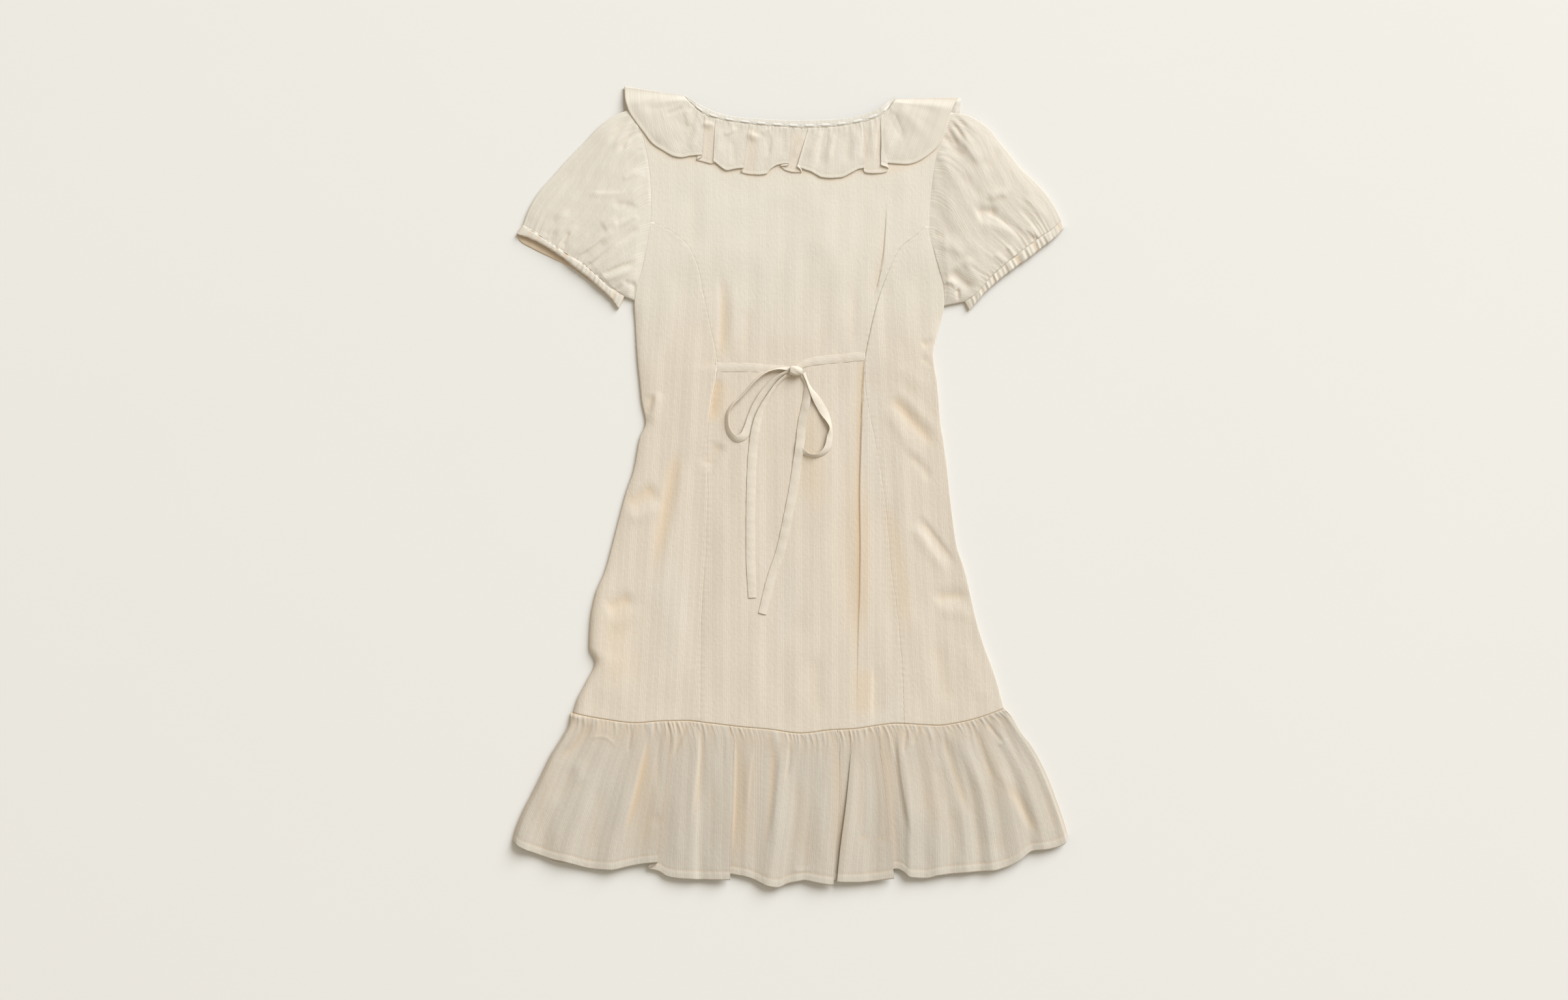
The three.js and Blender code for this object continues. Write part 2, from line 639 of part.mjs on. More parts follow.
// Ruffled collar on the back: a row for each fold of its edge, with the place of that fold on
// the neck seam (0 left to 1 right) and how high the fold stands (0 valley, 1 ridge).
const COLLAR_FOLDS = [
  { x: -199.3, y: 478.5, neck: 0, lift: 0 },
  { x: -198, y: 464.5, neck: 0.015, lift: 0.2 },
  { x: -194.6, y: 452, neck: 0.03, lift: 0.7 },
  { x: -178.5, y: 428.1, neck: 0.06, lift: 0.3 },
  { x: -163.4, y: 408.6, neck: 0.1, lift: 0.9 },
  { x: -138.5, y: 394.3, neck: 0.15, lift: 0.5 },
  { x: -124.4, y: 393.6, neck: 0.2, lift: 0.7 },
  { x: -107, y: 395.6, neck: 0.25, lift: 1 },
  { x: -104, y: 388.1, neck: 0.262, lift: 0.1 },
  { x: -93.5, y: 386.5, neck: 0.29, lift: 0.7 },
  { x: -76.8, y: 377.6, neck: 0.33, lift: 1 },
  { x: -59, y: 379, neck: 0.38, lift: 0.3 },
  { x: -43.3, y: 372.1, neck: 0.42, lift: 0.9 },
  { x: -22.2, y: 379.5, neck: 0.47, lift: 0.6 },
  { x: -3, y: 385.7, neck: 0.51, lift: 1 },
  { x: 0.5, y: 379, neck: 0.52, lift: 0.1 },
  { x: 12.9, y: 378, neck: 0.545, lift: 0.4 },
  { x: 26.9, y: 374, neck: 0.59, lift: 1 },
  { x: 52.6, y: 369, neck: 0.65, lift: 0.6 },
  { x: 70, y: 374, neck: 0.7, lift: 1 },
  { x: 89, y: 379.5, neck: 0.74, lift: 0.5 },
  { x: 93, y: 374.6, neck: 0.755, lift: 0.2 },
  { x: 108, y: 375.4, neck: 0.79, lift: 0.7 },
  { x: 111, y: 384.8, neck: 0.8, lift: 1 },
  { x: 139.2, y: 384.9, neck: 0.86, lift: 0.5 },
  { x: 159.5, y: 389.9, neck: 0.9, lift: 0.9 },
  { x: 176.7, y: 406, neck: 0.935, lift: 0.5 },
  { x: 187.1, y: 430.3, neck: 0.965, lift: 0.9 },
  { x: 194.3, y: 452, neck: 0.985, lift: 0.3 },
  { x: 201.2, y: 466.4, neck: 1, lift: 0 },
];
const NECK_SEAM = [
  { x: -128, y: 468 },
  { x: -113, y: 452.8 },
  { x: -97.9, y: 443 },
  { x: -74, y: 437.3 },
  { x: -46, y: 433.4 },
  { x: -18, y: 430.9 },
  { x: 18, y: 428.8 },
  { x: 47, y: 429.9 },
  { x: 76, y: 433.7 },
  { x: 98, y: 439.3 },
  { x: 113, y: 447 },
  { x: 126, y: 464 },
];
const neckSeam = walk(NECK_SEAM);
const collarMarks = COLLAR_FOLDS.map((fold, i) => ({ ...fold, s: i / (COLLAR_FOLDS.length - 1) }));
const collarX = column(collarMarks, 's', 'x');
const collarY = column(collarMarks, 's', 'y');
const collarNeck = column(collarMarks, 's', 'neck');
const collarLift = column(collarMarks, 's', 'lift');
const COLLAR_LEVEL = COLLAR_BED + CLOTH + SEAM + LOFT + CLOTH + 0.5;
const COLLAR_REST = CLOTH + SEAM + 0.1;

// The top edge of the collar turns over the shoulder and comes down to the front one.
function shoulderDrop(x, y) {
  const out = Math.abs(x);
  const ridge = x < 0 ? mix(461, 455, (out - 126) / 72) : mix(459, 449.5, (out - 126) / 74);
  const brim = x < 0 ? mix(468, 478.5, (out - 128) / 71) : mix(464, 466.4, (out - 126) / 75);
  return out < 112 ? 0 : soft((y - ridge) / Math.max(brim - ridge, 2));
}
function collarPoint(u, v, over) {
  const [nx, ny] = neckSeam(collarNeck(u));
  const x = mix(nx, collarX(u), v);
  const y = mix(ny, collarY(u), v);
  const stand = collarLift(u) * soft(v / 0.6);
  const small = (0.5 + 0.5 * Math.cos(Math.PI * 2 * 29 * u)) * Math.exp(-((v / 0.4) ** 2));
  const raised = COLLAR_LEVEL + 2.4 * stand;
  const level = mix(raised, COLLAR_REST, shoulderDrop(x, y));
  const crown = CLOTH + 1.1 * Math.max(stand, small);
  return [x, y, level + (over ? crown : 0)];
}
const collarBack = layer(
  'collar_back',
  steps((COLLAR_FOLDS.length - 1) * 3),
  [0, 0.16, 0.42, 0.72, 1],
  (u, v) => collarPoint(u, v, true),
  (u, v) => collarPoint(u, v, false),
);

// Front collar, plain and flat under the front, from the front neck seam to its edge.
const FRONT_COLLAR_EDGE = [
  { x: -200, y: 477 },
  { x: -199, y: 452 },
  { x: -176, y: 400 },
  { x: -128, y: 344 },
  { x: -64, y: 306 },
  { x: 0, y: 296 },
  { x: 64, y: 306 },
  { x: 128, y: 344 },
  { x: 180, y: 396 },
  { x: 203, y: 448 },
  { x: 204.5, y: 465 },
];
const FRONT_NECK_SEAM = [
  { x: -129, y: 467 },
  { x: -113, y: 427 },
  { x: -84, y: 391 },
  { x: -44, y: 365 },
  { x: 0, y: 357 },
  { x: 44, y: 365 },
  { x: 84, y: 391 },
  { x: 113, y: 427 },
  { x: 127, y: 463 },
];
const frontNeckSeam = walk(FRONT_NECK_SEAM);
const frontCollarEdge = walk(FRONT_COLLAR_EDGE);
const frontCollarPlace = (u, v) => {
  const a = frontNeckSeam(u);
  const b = frontCollarEdge(u);
  return [mix(a[0], b[0], v), mix(a[1], b[1], v)];
};
const collarFront = layer(
  'collar_front',
  steps(22),
  steps(3),
  (u, v) => [...frontCollarPlace(u, v), CLOTH],
  (u, v) => [...frontCollarPlace(u, v), 0],
);

// Neck tapes: the sheer tape of the back stands on the neck seam, that of the front lies inside.
const TAPE_TOP = [
  { x: -128, y: 470.5 },
  { x: -112, y: 459 },
  { x: -88, y: 447.6 },
  { x: -67, y: 442.5 },
  { x: -32, y: 439.5 },
  { x: 5, y: 438 },
  { x: 47, y: 439 },
  { x: 69, y: 440.8 },
  { x: 90, y: 446 },
  { x: 105, y: 452.4 },
  { x: 115, y: 459.2 },
  { x: 125, y: 467 },
];
const tapeTop = walk(TAPE_TOP);
function tapePoint(u, v, over) {
  const a = neckSeam(mix(0.008, 0.992, u));
  const b = tapeTop(u);
  const length = Math.hypot(b[0] - a[0], b[1] - a[1]);
  const t = mix(Math.min(SEAM / length, 0.4), 1, v);
  const x = mix(a[0], b[0], t);
  const y = mix(a[1], b[1], t);
  const end = soft(Math.min(u, 1 - u) / 0.08);
  return [x, y, mix(COLLAR_REST, COLLAR_LEVEL, end) + 1.2 * v * end + (over ? TAPE_WALL : 0)];
}
const neckTrimBack = layer(
  'neck_trim_back',
  steps(34),
  [0, 1],
  (u, v) => tapePoint(u, v, true),
  (u, v) => tapePoint(u, v, false),
  0xf2e8d8,
);
const frontTape = (u, v) => {
  const [x, y] = frontNeckSeam(mix(0.06, 0.94, u));
  const out = mix(SEAM, 8, v);
  const [px, py] = frontNeckSeam(mix(0.06, 0.94, Math.min(u + 0.01, 1)));
  const [qx, qy] = frontNeckSeam(mix(0.06, 0.94, Math.max(u - 0.01, 0)));
  const length = Math.hypot(px - qx, py - qy);
  return [x - ((py - qy) / length) * out, y + ((px - qx) / length) * out];
};
const neckTrimFront = layer(
  'neck_trim_front',
  steps(20),
  [0, 1],
  (u, v) => [...frontTape(u, v), TAPE_WALL],
  (u, v) => [...frontTape(u, v), 0],
  0xf2e8d8,
);

// Hem ruffle of the back: a row for each fold, with its place on the hem, its place on the
// hem seam and how high it stands (0 valley, 1 ridge).
const HEM_FOLDS = [
  { x: -330.5, y: -423.2, seam: -262, lift: 0 },
  { x: -314.7, y: -430.9, seam: -252, lift: 0.6 },
  { x: -294.4, y: -444.2, seam: -238, lift: 0.2 },
  { x: -271.1, y: -450.4, seam: -222, lift: 0.8 },
  { x: -243.8, y: -455.9, seam: -204, lift: 0.3 },
  { x: -216.5, y: -457.9, seam: -186, lift: 0.8 },
  { x: -189.2, y: -455.9, seam: -166, lift: 0.4 },
  { x: -172, y: -453, seam: -153, lift: 0.7 },
  { x: -160, y: -449.7, seam: -143, lift: 1 },
  { x: -157, y: -461.4, seam: -139, lift: 0.1 },
  { x: -138.5, y: -466.1, seam: -124, lift: 0.3 },
  { x: -120, y: -467, seam: -110, lift: 0.8 },
  { x: -106.5, y: -467.6, seam: -98, lift: 0.4 },
  { x: -88, y: -469, seam: -84, lift: 0.7 },
  { x: -75, y: -469.9, seam: -72, lift: 1 },
  { x: -71.5, y: -464.5, seam: -68, lift: 0.1 },
  { x: -57, y: -465.5, seam: -54, lift: 0.3 },
  { x: -42.5, y: -467.6, seam: -43, lift: 0.5 },
  { x: -30, y: -475, seam: -31, lift: 1 },
  { x: -12.9, y: -479.3, seam: -14, lift: 0.5 },
  { x: 8.2, y: -475.4, seam: 8, lift: 0.8 },
  { x: 26.1, y: -471.5, seam: 26, lift: 0.4 },
  { x: 42, y: -474.6, seam: 41, lift: 0.8 },
  { x: 51, y: -476.2, seam: 50, lift: 1 },
  { x: 55.5, y: -472.3, seam: 56, lift: 0 },
  { x: 59, y: -474, seam: 61, lift: 0.8 },
  { x: 78, y: -474.6, seam: 76, lift: 0.4 },
  { x: 99.5, y: -471.5, seam: 92, lift: 0.7 },
  { x: 124.4, y: -467.6, seam: 108, lift: 1 },
  { x: 127.5, y: -458.5, seam: 112, lift: 0.1 },
  { x: 143.1, y: -466.1, seam: 124, lift: 0.7 },
  { x: 160, y: -467, seam: 136, lift: 0.4 },
  { x: 178, y: -464.5, seam: 150, lift: 0.9 },
  { x: 200, y: -462, seam: 166, lift: 0.4 },
  { x: 224, y: -460.6, seam: 184, lift: 0.8 },
  { x: 250.8, y: -459, seam: 203, lift: 0.5 },
  { x: 268.7, y: -451.2, seam: 216, lift: 0.9 },
  { x: 284, y: -439.5, seam: 228, lift: 0.4 },
  { x: 303, y: -433, seam: 240, lift: 0.8 },
  { x: 320, y: -429, seam: 250, lift: 0.3 },
  { x: 331.5, y: -420, seam: 257, lift: 0 },
];
const RUFFLE_LEFT = [
  { x: -262, y: -271.5 },
  { x: -264, y: -282 },
  { x: -272.6, y: -299.1 },
  { x: -285.9, y: -320.2 },
  { x: -298.4, y: -345.9 },
  { x: -309.3, y: -367.8 },
  { x: -319.4, y: -387.3 },
  { x: -328.8, y: -410.7 },
  { x: -330.5, y: -423.2 },
];
const RUFFLE_RIGHT = [
  { x: 257, y: -265.5 },
  { x: 264, y: -274.2 },
  { x: 275, y: -292.9 },
  { x: 289.8, y: -312.4 },
  { x: 305.4, y: -342 },
  { x: 318.6, y: -375.6 },
  { x: 328, y: -402.9 },
  { x: 331.5, y: -420 },
];
const hemMarks = HEM_FOLDS.map((fold, i) => ({ ...fold, s: i / (HEM_FOLDS.length - 1) }));
const hemX = column(hemMarks, 's', 'x');
const hemY = column(hemMarks, 's', 'y');
const hemFrom = column(hemMarks, 's', 'seam');
const hemLift = column(hemMarks, 's', 'lift');
const ruffleTop = (u) => [hemFrom(u), hemSeam(hemFrom(u)) - SEAM - 0.25];
const rufflePlace = patch(
  ruffleTop,
  (u) => [hemX(u), hemY(u)],
  walk(RUFFLE_LEFT),
  walk(RUFFLE_RIGHT),
);
function rufflePoint(u, v, over) {
  const [x, y] = rufflePlace(u, v);
  const inside = 1 - Math.exp(-Math.min(u, 1 - u) / 0.012);
  const stand = hemLift(u) * soft(0.35 + v * 1.2);
  const gather = 0.5 + 0.5 * Math.cos(Math.PI * 2 * HEM_GATHERS * u);
  const fine = gather * Math.exp(-((v / 0.2) ** 2));
  const under = CLOTH + SEAM + inside * mix(LOFT, 0.3 + 3.2 * stand, soft(v / 0.35));
  const crown = CLOTH + inside * 1.6 * Math.max(stand * soft(v / 0.3), fine);
  return [x, y, under + (over ? crown : 0)];
}
const hemRuffleBack = layer(
  'hem_ruffle_back',
  steps((HEM_FOLDS.length - 1) * 3),
  [0, 0.06, 0.16, 0.32, 0.55, 0.78, 1],
  (u, v) => rufflePoint(u, v, true),
  (u, v) => rufflePoint(u, v, false),
);

// Hem ruffle of the front, flat on the surface and a little shorter than the back one, but for
// the places where it shows below the back hem.
const FRONT_SHOWS = [
  { x: -283, wide: 24, drop: 7.5 },
  { x: 300, wide: 14, drop: 4 },
];
const frontRufflePlace = (u, v) => {
  const [x, y] = rufflePlace(mix(0.004, 0.996, u), mix(0.009, 0.985, v));
  const drop = FRONT_SHOWS.reduce((sum, place) => sum
    + place.drop * Math.exp(-(((x - place.x) / place.wide) ** 2)), 0);
  return [x, y - drop * v ** 4];
};
const hemRuffleFront = layer(
  'hem_ruffle_front',
  steps(40),
  [0, 0.5, 1],
  (u, v) => [...frontRufflePlace(u, v), CLOTH],
  (u, v) => [...frontRufflePlace(u, v), 0],
);

// The highest place of the back round a point, for what lies on it.
function ground(x, y) {
  return Math.max(
    backOver(x, y),
    backOver(x - 5, y),
    backOver(x + 5, y),
    backOver(x, y - 5),
    backOver(x, y + 5),
  );
}

// Ties: bands of folded cloth. Each row is a place on the band's middle with its height over
// the back, its width and its lean (0 flat, 90 on edge).
function band(name, rows, count) {
  const marked = rows.map((row, i) => ({ ...row, s: i / (rows.length - 1) }));
  const read = (key) => column(marked, 's', key);
  const [x, y, up, wide, lean] = ['x', 'y', 'up', 'wide', 'lean'].map(read);
  const frame = (s) => {
    const before = Math.max(s - 0.01, 0);
    const after = Math.min(s + 0.01, 1);
    const dx = x(after) - x(before);
    const dy = y(after) - y(before);
    const length = Math.hypot(dx, dy) || 1;
    const angle = (lean(s) * Math.PI) / 180;
    const across = [(-dy / length) * Math.cos(angle), (dx / length) * Math.cos(angle), Math.sin(angle)];
    const facing = [(dy / length) * Math.sin(angle), (-dx / length) * Math.sin(angle), Math.cos(angle)];
    return { across, facing };
  };
  const point = (side, s, over) => {
    const { across, facing } = frame(s);
    const half = (wide(s) / 2) * (2 * side - 1);
    const out = over ? TIE_WALL / 2 : -TIE_WALL / 2;
    const tilt = Math.abs(Math.sin((lean(s) * Math.PI) / 180));
    const flat = Math.abs(Math.cos((lean(s) * Math.PI) / 180));
    const height = ground(x(s), y(s)) + up(s) + (wide(s) / 2) * tilt + (TIE_WALL / 2) * flat;
    return [
      x(s) + across[0] * half + facing[0] * out,
      y(s) + across[1] * half + facing[1] * out,
      height + across[2] * half + facing[2] * out,
    ];
  };
  return layer(
    name,
    [0, 1],
    steps(count),
    (side, s) => point(side, s, true),
    (side, s) => point(side, s, false),
    TIE_CREAM,
  );
}
const TIES = {
  tie_strap_left: {
    count: 12,
    rows: [
      { x: -88, y: 143.8, up: 0.5, wide: 11, lean: 0 },
      { x: -62, y: 144.6, up: 0.5, wide: 10.8, lean: 0 },
      { x: -34, y: 143.2, up: 0.5, wide: 9.6, lean: 0 },
      { x: -2, y: 141.2, up: 0.7, wide: 8, lean: 0 },
    ],
  },
  tie_strap_right: {
    count: 14,
    rows: [
      { x: 86, y: 156, up: 0.5, wide: 10.5, lean: 0 },
      { x: 64, y: 152.6, up: 0.5, wide: 10.5, lean: 0 },
      { x: 38, y: 149.6, up: 0.5, wide: 10, lean: 0 },
      { x: 22, y: 146.6, up: 0.6, wide: 9, lean: 0 },
      { x: 15.6, y: 142.4, up: 0.9, wide: 8, lean: 0 },
    ],
  },
  bow_loop_left: {
    count: 40,
    rows: [
      { x: -2.6, y: 139.4, up: 3.2, wide: 6, lean: 40 },
      { x: -12, y: 141, up: 2.8, wide: 8, lean: 78 },
      { x: -25, y: 138, up: 2.4, wide: 9.5, lean: 84 },
      { x: -36, y: 130, up: 1.4, wide: 10.5, lean: 84 },
      { x: -48, y: 118, up: 0.6, wide: 10.5, lean: 84 },
      { x: -60, y: 105, up: 0.5, wide: 10.5, lean: 82 },
      { x: -72, y: 94, up: 0.5, wide: 10.5, lean: 78 },
      { x: -77.5, y: 80, up: 0.5, wide: 10.5, lean: 66 },
      { x: -74, y: 66, up: 0.5, wide: 10.5, lean: 52 },
      { x: -64, y: 59.5, up: 0.5, wide: 10.5, lean: 44 },
      { x: -55.5, y: 65, up: 0.5, wide: 10.5, lean: 50 },
      { x: -49.5, y: 78, up: 0.5, wide: 10.5, lean: 60 },
      { x: -44.5, y: 94, up: 0.5, wide: 10, lean: 74 },
      { x: -36, y: 109, up: 0.6, wide: 9.5, lean: 82 },
      { x: -25, y: 123, up: 1, wide: 8.5, lean: 82 },
      { x: -14, y: 133, up: 2, wide: 7, lean: 78 },
      { x: -3.6, y: 136.2, up: 3.2, wide: 5, lean: 40 },
    ],
  },
  tie_tail_left: {
    count: 34,
    rows: [
      { x: -3, y: 131.6, up: 0.9, wide: 5, lean: 10 },
      { x: -12, y: 124.6, up: 0.5, wide: 6.5, lean: -60 },
      { x: -22, y: 112, up: 0.5, wide: 8, lean: -66 },
      { x: -31, y: 96, up: 0.5, wide: 9, lean: -60 },
      { x: -39, y: 76, up: 0.5, wide: 10, lean: -38 },
      { x: -44, y: 56, up: 0.5, wide: 10.5, lean: -10 },
      { x: -46.8, y: 30, up: 0.5, wide: 10.5, lean: 0 },
      { x: -47.6, y: -15, up: 0.5, wide: 10.5, lean: 0 },
      { x: -47.6, y: -80, up: 0.5, wide: 10.5, lean: 0 },
      { x: -45.5, y: -134, up: 0.5, wide: 9.6, lean: 0 },
    ],
  },
  bow_loop_right: {
    count: 30,
    rows: [
      { x: 17, y: 133.5, up: 2.6, wide: 5, lean: -40 },
      { x: 21.4, y: 124, up: 1.2, wide: 7, lean: -76 },
      { x: 27, y: 115.5, up: 0.6, wide: 9, lean: -80 },
      { x: 34, y: 105, up: 0.5, wide: 10, lean: -62 },
      { x: 40, y: 90, up: 0.5, wide: 10.5, lean: -48 },
      { x: 46, y: 76, up: 0.5, wide: 10.5, lean: -64 },
      { x: 47, y: 60, up: 0.5, wide: 10.5, lean: -54 },
      { x: 42, y: 47, up: 0.5, wide: 10.5, lean: -46 },
      { x: 32, y: 39.5, up: 0.5, wide: 10, lean: -50 },
      { x: 22.6, y: 38.6, up: 0.6, wide: 9, lean: -60 },
    ],
  },
  tie_tail_right: {
    count: 34,
    rows: [
      { x: 11.8, y: 131, up: 0.9, wide: 5, lean: 30 },
      { x: 14.4, y: 122, up: 0.5, wide: 6, lean: 60 },
      { x: 16.6, y: 110, up: 0.5, wide: 8, lean: 56 },
      { x: 15.6, y: 93, up: 0.5, wide: 9, lean: 36 },
      { x: 13.6, y: 76, up: 0.5, wide: 10, lean: 12 },
      { x: 11.4, y: 56, up: 0.5, wide: 10.5, lean: 0 },
      { x: 8.4, y: 28, up: 0.5, wide: 10.5, lean: 0 },
      { x: 1, y: -16, up: 0.5, wide: 10.5, lean: 0 },
      { x: -10, y: -70, up: 0.5, wide: 10.5, lean: 0 },
      { x: -22, y: -112, up: 0.5, wide: 10.5, lean: 0 },
      { x: -34, y: -152, up: 0.5, wide: 9.8, lean: 0 },
    ],
  },
};
const ties = Object.entries(TIES).map(([name, tie]) => band(name, tie.rows, tie.count));

// Knot: the band wrapped once over all the others, a rounded block.
const KNOT = { x: 6.6, y: 138.4, length: 14, wide: 11, up: 0.5, rise: 9, turn: -10 };
function knotPoint(u, v, over) {
  const a = 2 * u - 1;
  const b = 2 * v - 1;
  const turn = (KNOT.turn * Math.PI) / 180;
  const dx = (KNOT.length / 2) * a;
  const dy = (KNOT.wide / 2) * b * (1 - 0.18 * a);
  const dome = Math.sqrt(Math.max(0, 1 - 0.7 * b * b - 0.15 * a * a));
  const low = ground(KNOT.x, KNOT.y) + KNOT.up;
  return [
    KNOT.x + dx * Math.cos(turn) - dy * Math.sin(turn),
    KNOT.y + dx * Math.sin(turn) + dy * Math.cos(turn),
    over ? low + mix(3, KNOT.rise, dome) : low,
  ];
}
const bowKnot = layer(
  'bow_knot',
  steps(4),
  steps(6),
  (u, v) => knotPoint(u, v, true),
  (u, v) => knotPoint(u, v, false),
  TIE_CREAM,
);

const dress = new THREE.Group();
dress.name = 'mini_dress';
dress.add(
  frontPanel,
  backCentre,
  backSideLeft,
  backSideRight,
  sleeve('sleeve_left', SLEEVES.left),
  sleeve('sleeve_right', SLEEVES.right),
  cuff('cuff_left', SLEEVES.left),
  cuff('cuff_right', SLEEVES.right),
  collarBack,
  collarFront,
  neckTrimBack,
  neckTrimFront,
  hemRuffleBack,
  hemRuffleFront,
  ...ties,
  bowKnot,
);

export default dress;
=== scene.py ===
# A mini dress of cream striped cotton, laid flat with its back up: camera, light and floor first,
# then each piece in the order in which a maker would cut it.
import math

import bpy
import numpy as np
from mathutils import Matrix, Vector


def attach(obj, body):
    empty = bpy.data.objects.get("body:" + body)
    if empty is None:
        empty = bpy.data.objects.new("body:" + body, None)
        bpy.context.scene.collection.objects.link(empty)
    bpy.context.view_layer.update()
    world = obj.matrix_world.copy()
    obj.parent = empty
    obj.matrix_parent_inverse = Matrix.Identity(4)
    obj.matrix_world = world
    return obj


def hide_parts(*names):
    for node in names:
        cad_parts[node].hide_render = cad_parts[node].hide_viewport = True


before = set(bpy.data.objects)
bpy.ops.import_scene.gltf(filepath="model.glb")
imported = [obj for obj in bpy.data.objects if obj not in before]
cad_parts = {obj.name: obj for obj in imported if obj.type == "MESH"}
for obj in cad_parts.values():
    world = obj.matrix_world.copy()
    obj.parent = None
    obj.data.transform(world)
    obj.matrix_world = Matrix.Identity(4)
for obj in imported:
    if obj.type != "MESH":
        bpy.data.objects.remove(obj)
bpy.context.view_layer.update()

# Camera: straight over the dress, as far away as a copy stand would hold it.
# The photo's frame of 2408 by 1536 shows 0.78 mm of the dress in each pixel.
MM = 0.001
PIXEL_MM = 0.78
PHOTO_WIDE = 2408
CAMERA_HEIGHT = 2.8
VIEW_MIDDLE = (-7.4, -16.0)
camera_lens = bpy.data.cameras.new("camera")
camera_lens.sensor_width = 36
camera_lens.lens = 36 * CAMERA_HEIGHT / (PHOTO_WIDE * PIXEL_MM * MM)
camera = bpy.data.objects.new("camera", camera_lens)
camera.location = (VIEW_MIDDLE[0] * MM, VIEW_MIDDLE[1] * MM, CAMERA_HEIGHT)
bpy.context.scene.collection.objects.link(camera)
bpy.context.scene.camera = camera

# Light: a broad soft window some way past the neck, to the right of it, and pale light all round.
WINDOW_FROM = Vector((0.50, 0.62, 0.50)).normalized()
WINDOW_AWAY = 28.0
window_data = bpy.data.lights.new("window", "AREA")
window_data.shape = "DISK"
window_data.size = 21.5
window_data.energy = 10400
window_data.color = (0.94, 0.99, 1.055)
window = bpy.data.objects.new("window", window_data)
window.location = WINDOW_FROM * WINDOW_AWAY
window.rotation_euler = WINDOW_FROM.to_track_quat("Z", "Y").to_euler()
bpy.context.scene.collection.objects.link(window)
world = bpy.data.worlds.new("room")
world.use_nodes = True
world.node_tree.nodes["Background"].inputs["Color"].default_value = (1.08, 0.98, 0.82, 1)
world.node_tree.nodes["Background"].inputs["Strength"].default_value = 0.45
bpy.context.scene.world = world
bpy.context.scene.view_settings.view_transform = "Standard"

# Floor: a smooth pale board with a matt coat of paint. Its tone has the faintest unevenness,
# and it lies 0.3 mm under the dress so that the two never share a plane.
FLOOR_SIZE = 8.0
FLOOR_COLOUR = (0.80, 0.785, 0.745, 1)
floor_mesh = bpy.data.meshes.new("floor")
half_floor = FLOOR_SIZE / 2
floor_mesh.from_pydata(
    [(-half_floor, -half_floor, 0), (half_floor, -half_floor, 0),
     (half_floor, half_floor, 0), (-half_floor, half_floor, 0)],
    [],
    [(0, 1, 2, 3)],
)
floor = bpy.data.objects.new("floor", floor_mesh)
floor.location.z = -0.0003
bpy.context.scene.collection.objects.link(floor)
floor_paint = bpy.data.materials.new("floor_paint")
floor_paint.use_nodes = True
floor_nodes = floor_paint.node_tree.nodes
floor_nodes["Principled BSDF"].inputs["Roughness"].default_value = 0.9
floor_place = floor_nodes.new("ShaderNodeTexCoord")
floor_noise = floor_nodes.new("ShaderNodeTexNoise")
floor_noise.inputs["Scale"].default_value = 3
floor_tone = floor_nodes.new("ShaderNodeMix")
floor_tone.data_type = "RGBA"
floor_tone.inputs["A"].default_value = FLOOR_COLOUR
floor_tone.inputs["B"].default_value = tuple(c * 0.985 for c in FLOOR_COLOUR[:3]) + (1,)
floor_paint.node_tree.links.new(floor_place.outputs["Object"], floor_noise.inputs["Vector"])
floor_paint.node_tree.links.new(floor_noise.outputs["Fac"], floor_tone.inputs["Factor"])
floor_paint.node_tree.links.new(
    floor_tone.outputs["Result"], floor_nodes["Principled BSDF"].inputs["Base Color"]
)
floor_mesh.materials.append(floor_paint)


# Striped cotton: cream cloth with groups of four fine satin lines woven every 21 mm along its
# length, a thin line between the groups, and the small knots and thick threads of plain cotton.
STRIPE_PITCH = 21.6 * MM
STRIPE_LINE = 2.1 * MM
STRIPE_HALF = 4.3 * MM


def node_group(name, inputs, outputs):
    group = bpy.data.node_groups.new(name, "ShaderNodeTree")
    for label, kind in inputs:
        group.interface.new_socket(label, in_out="INPUT", socket_type=kind)
    for label, kind in outputs:
        group.interface.new_socket(label, in_out="OUTPUT", socket_type=kind)
    return group, group.nodes.new("NodeGroupInput"), group.nodes.new("NodeGroupOutput")


def math_node(tree, operation, first, second=None):
    node = tree.nodes.new("ShaderNodeMath")
    node.operation = operation
    for place, value in ((0, first), (1, second)):
        if value is None:
            continue
        if isinstance(value, (int, float)):
            node.inputs[place].default_value = value
        else:
            tree.links.new(value, node.inputs[place])
    return node.outputs[0]


stripes, stripes_in, stripes_out = node_group(
    "woven_stripes",
    [("Cloth", "NodeSocketVector")],
    [("Line", "NodeSocketFloat"), ("Slub", "NodeSocketFloat"), ("Normal", "NodeSocketVector")],
)
across = stripes.nodes.new("ShaderNodeSeparateXYZ")
stripes.links.new(stripes_in.outputs["Cloth"], across.inputs["Vector"])
turn = math_node(stripes, "FRACT", math_node(stripes, "DIVIDE", across.outputs["X"], STRIPE_PITCH))
from_middle = math_node(
    stripes, "MULTIPLY", math_node(stripes, "SUBTRACT", turn, 0.5), STRIPE_PITCH
)
in_group = math_node(
    stripes, "LESS_THAN", math_node(stripes, "ABSOLUTE", from_middle), STRIPE_HALF
)
wave = math_node(
    stripes, "SINE", math_node(stripes, "MULTIPLY", from_middle, 2 * math.pi / STRIPE_LINE)
)
line = math_node(stripes, "MULTIPLY", math_node(stripes, "MAXIMUM", wave, -0.45), in_group)
between = math_node(
    stripes, "GREATER_THAN", math_node(stripes, "ABSOLUTE", from_middle), STRIPE_PITCH / 2 - 0.5 * MM
)
line = math_node(
    stripes, "MAXIMUM", line, math_node(stripes, "MULTIPLY", between, 0.45)
)
stripes.links.new(line, stripes_out.inputs["Line"])
long_threads = stripes.nodes.new("ShaderNodeMapping")
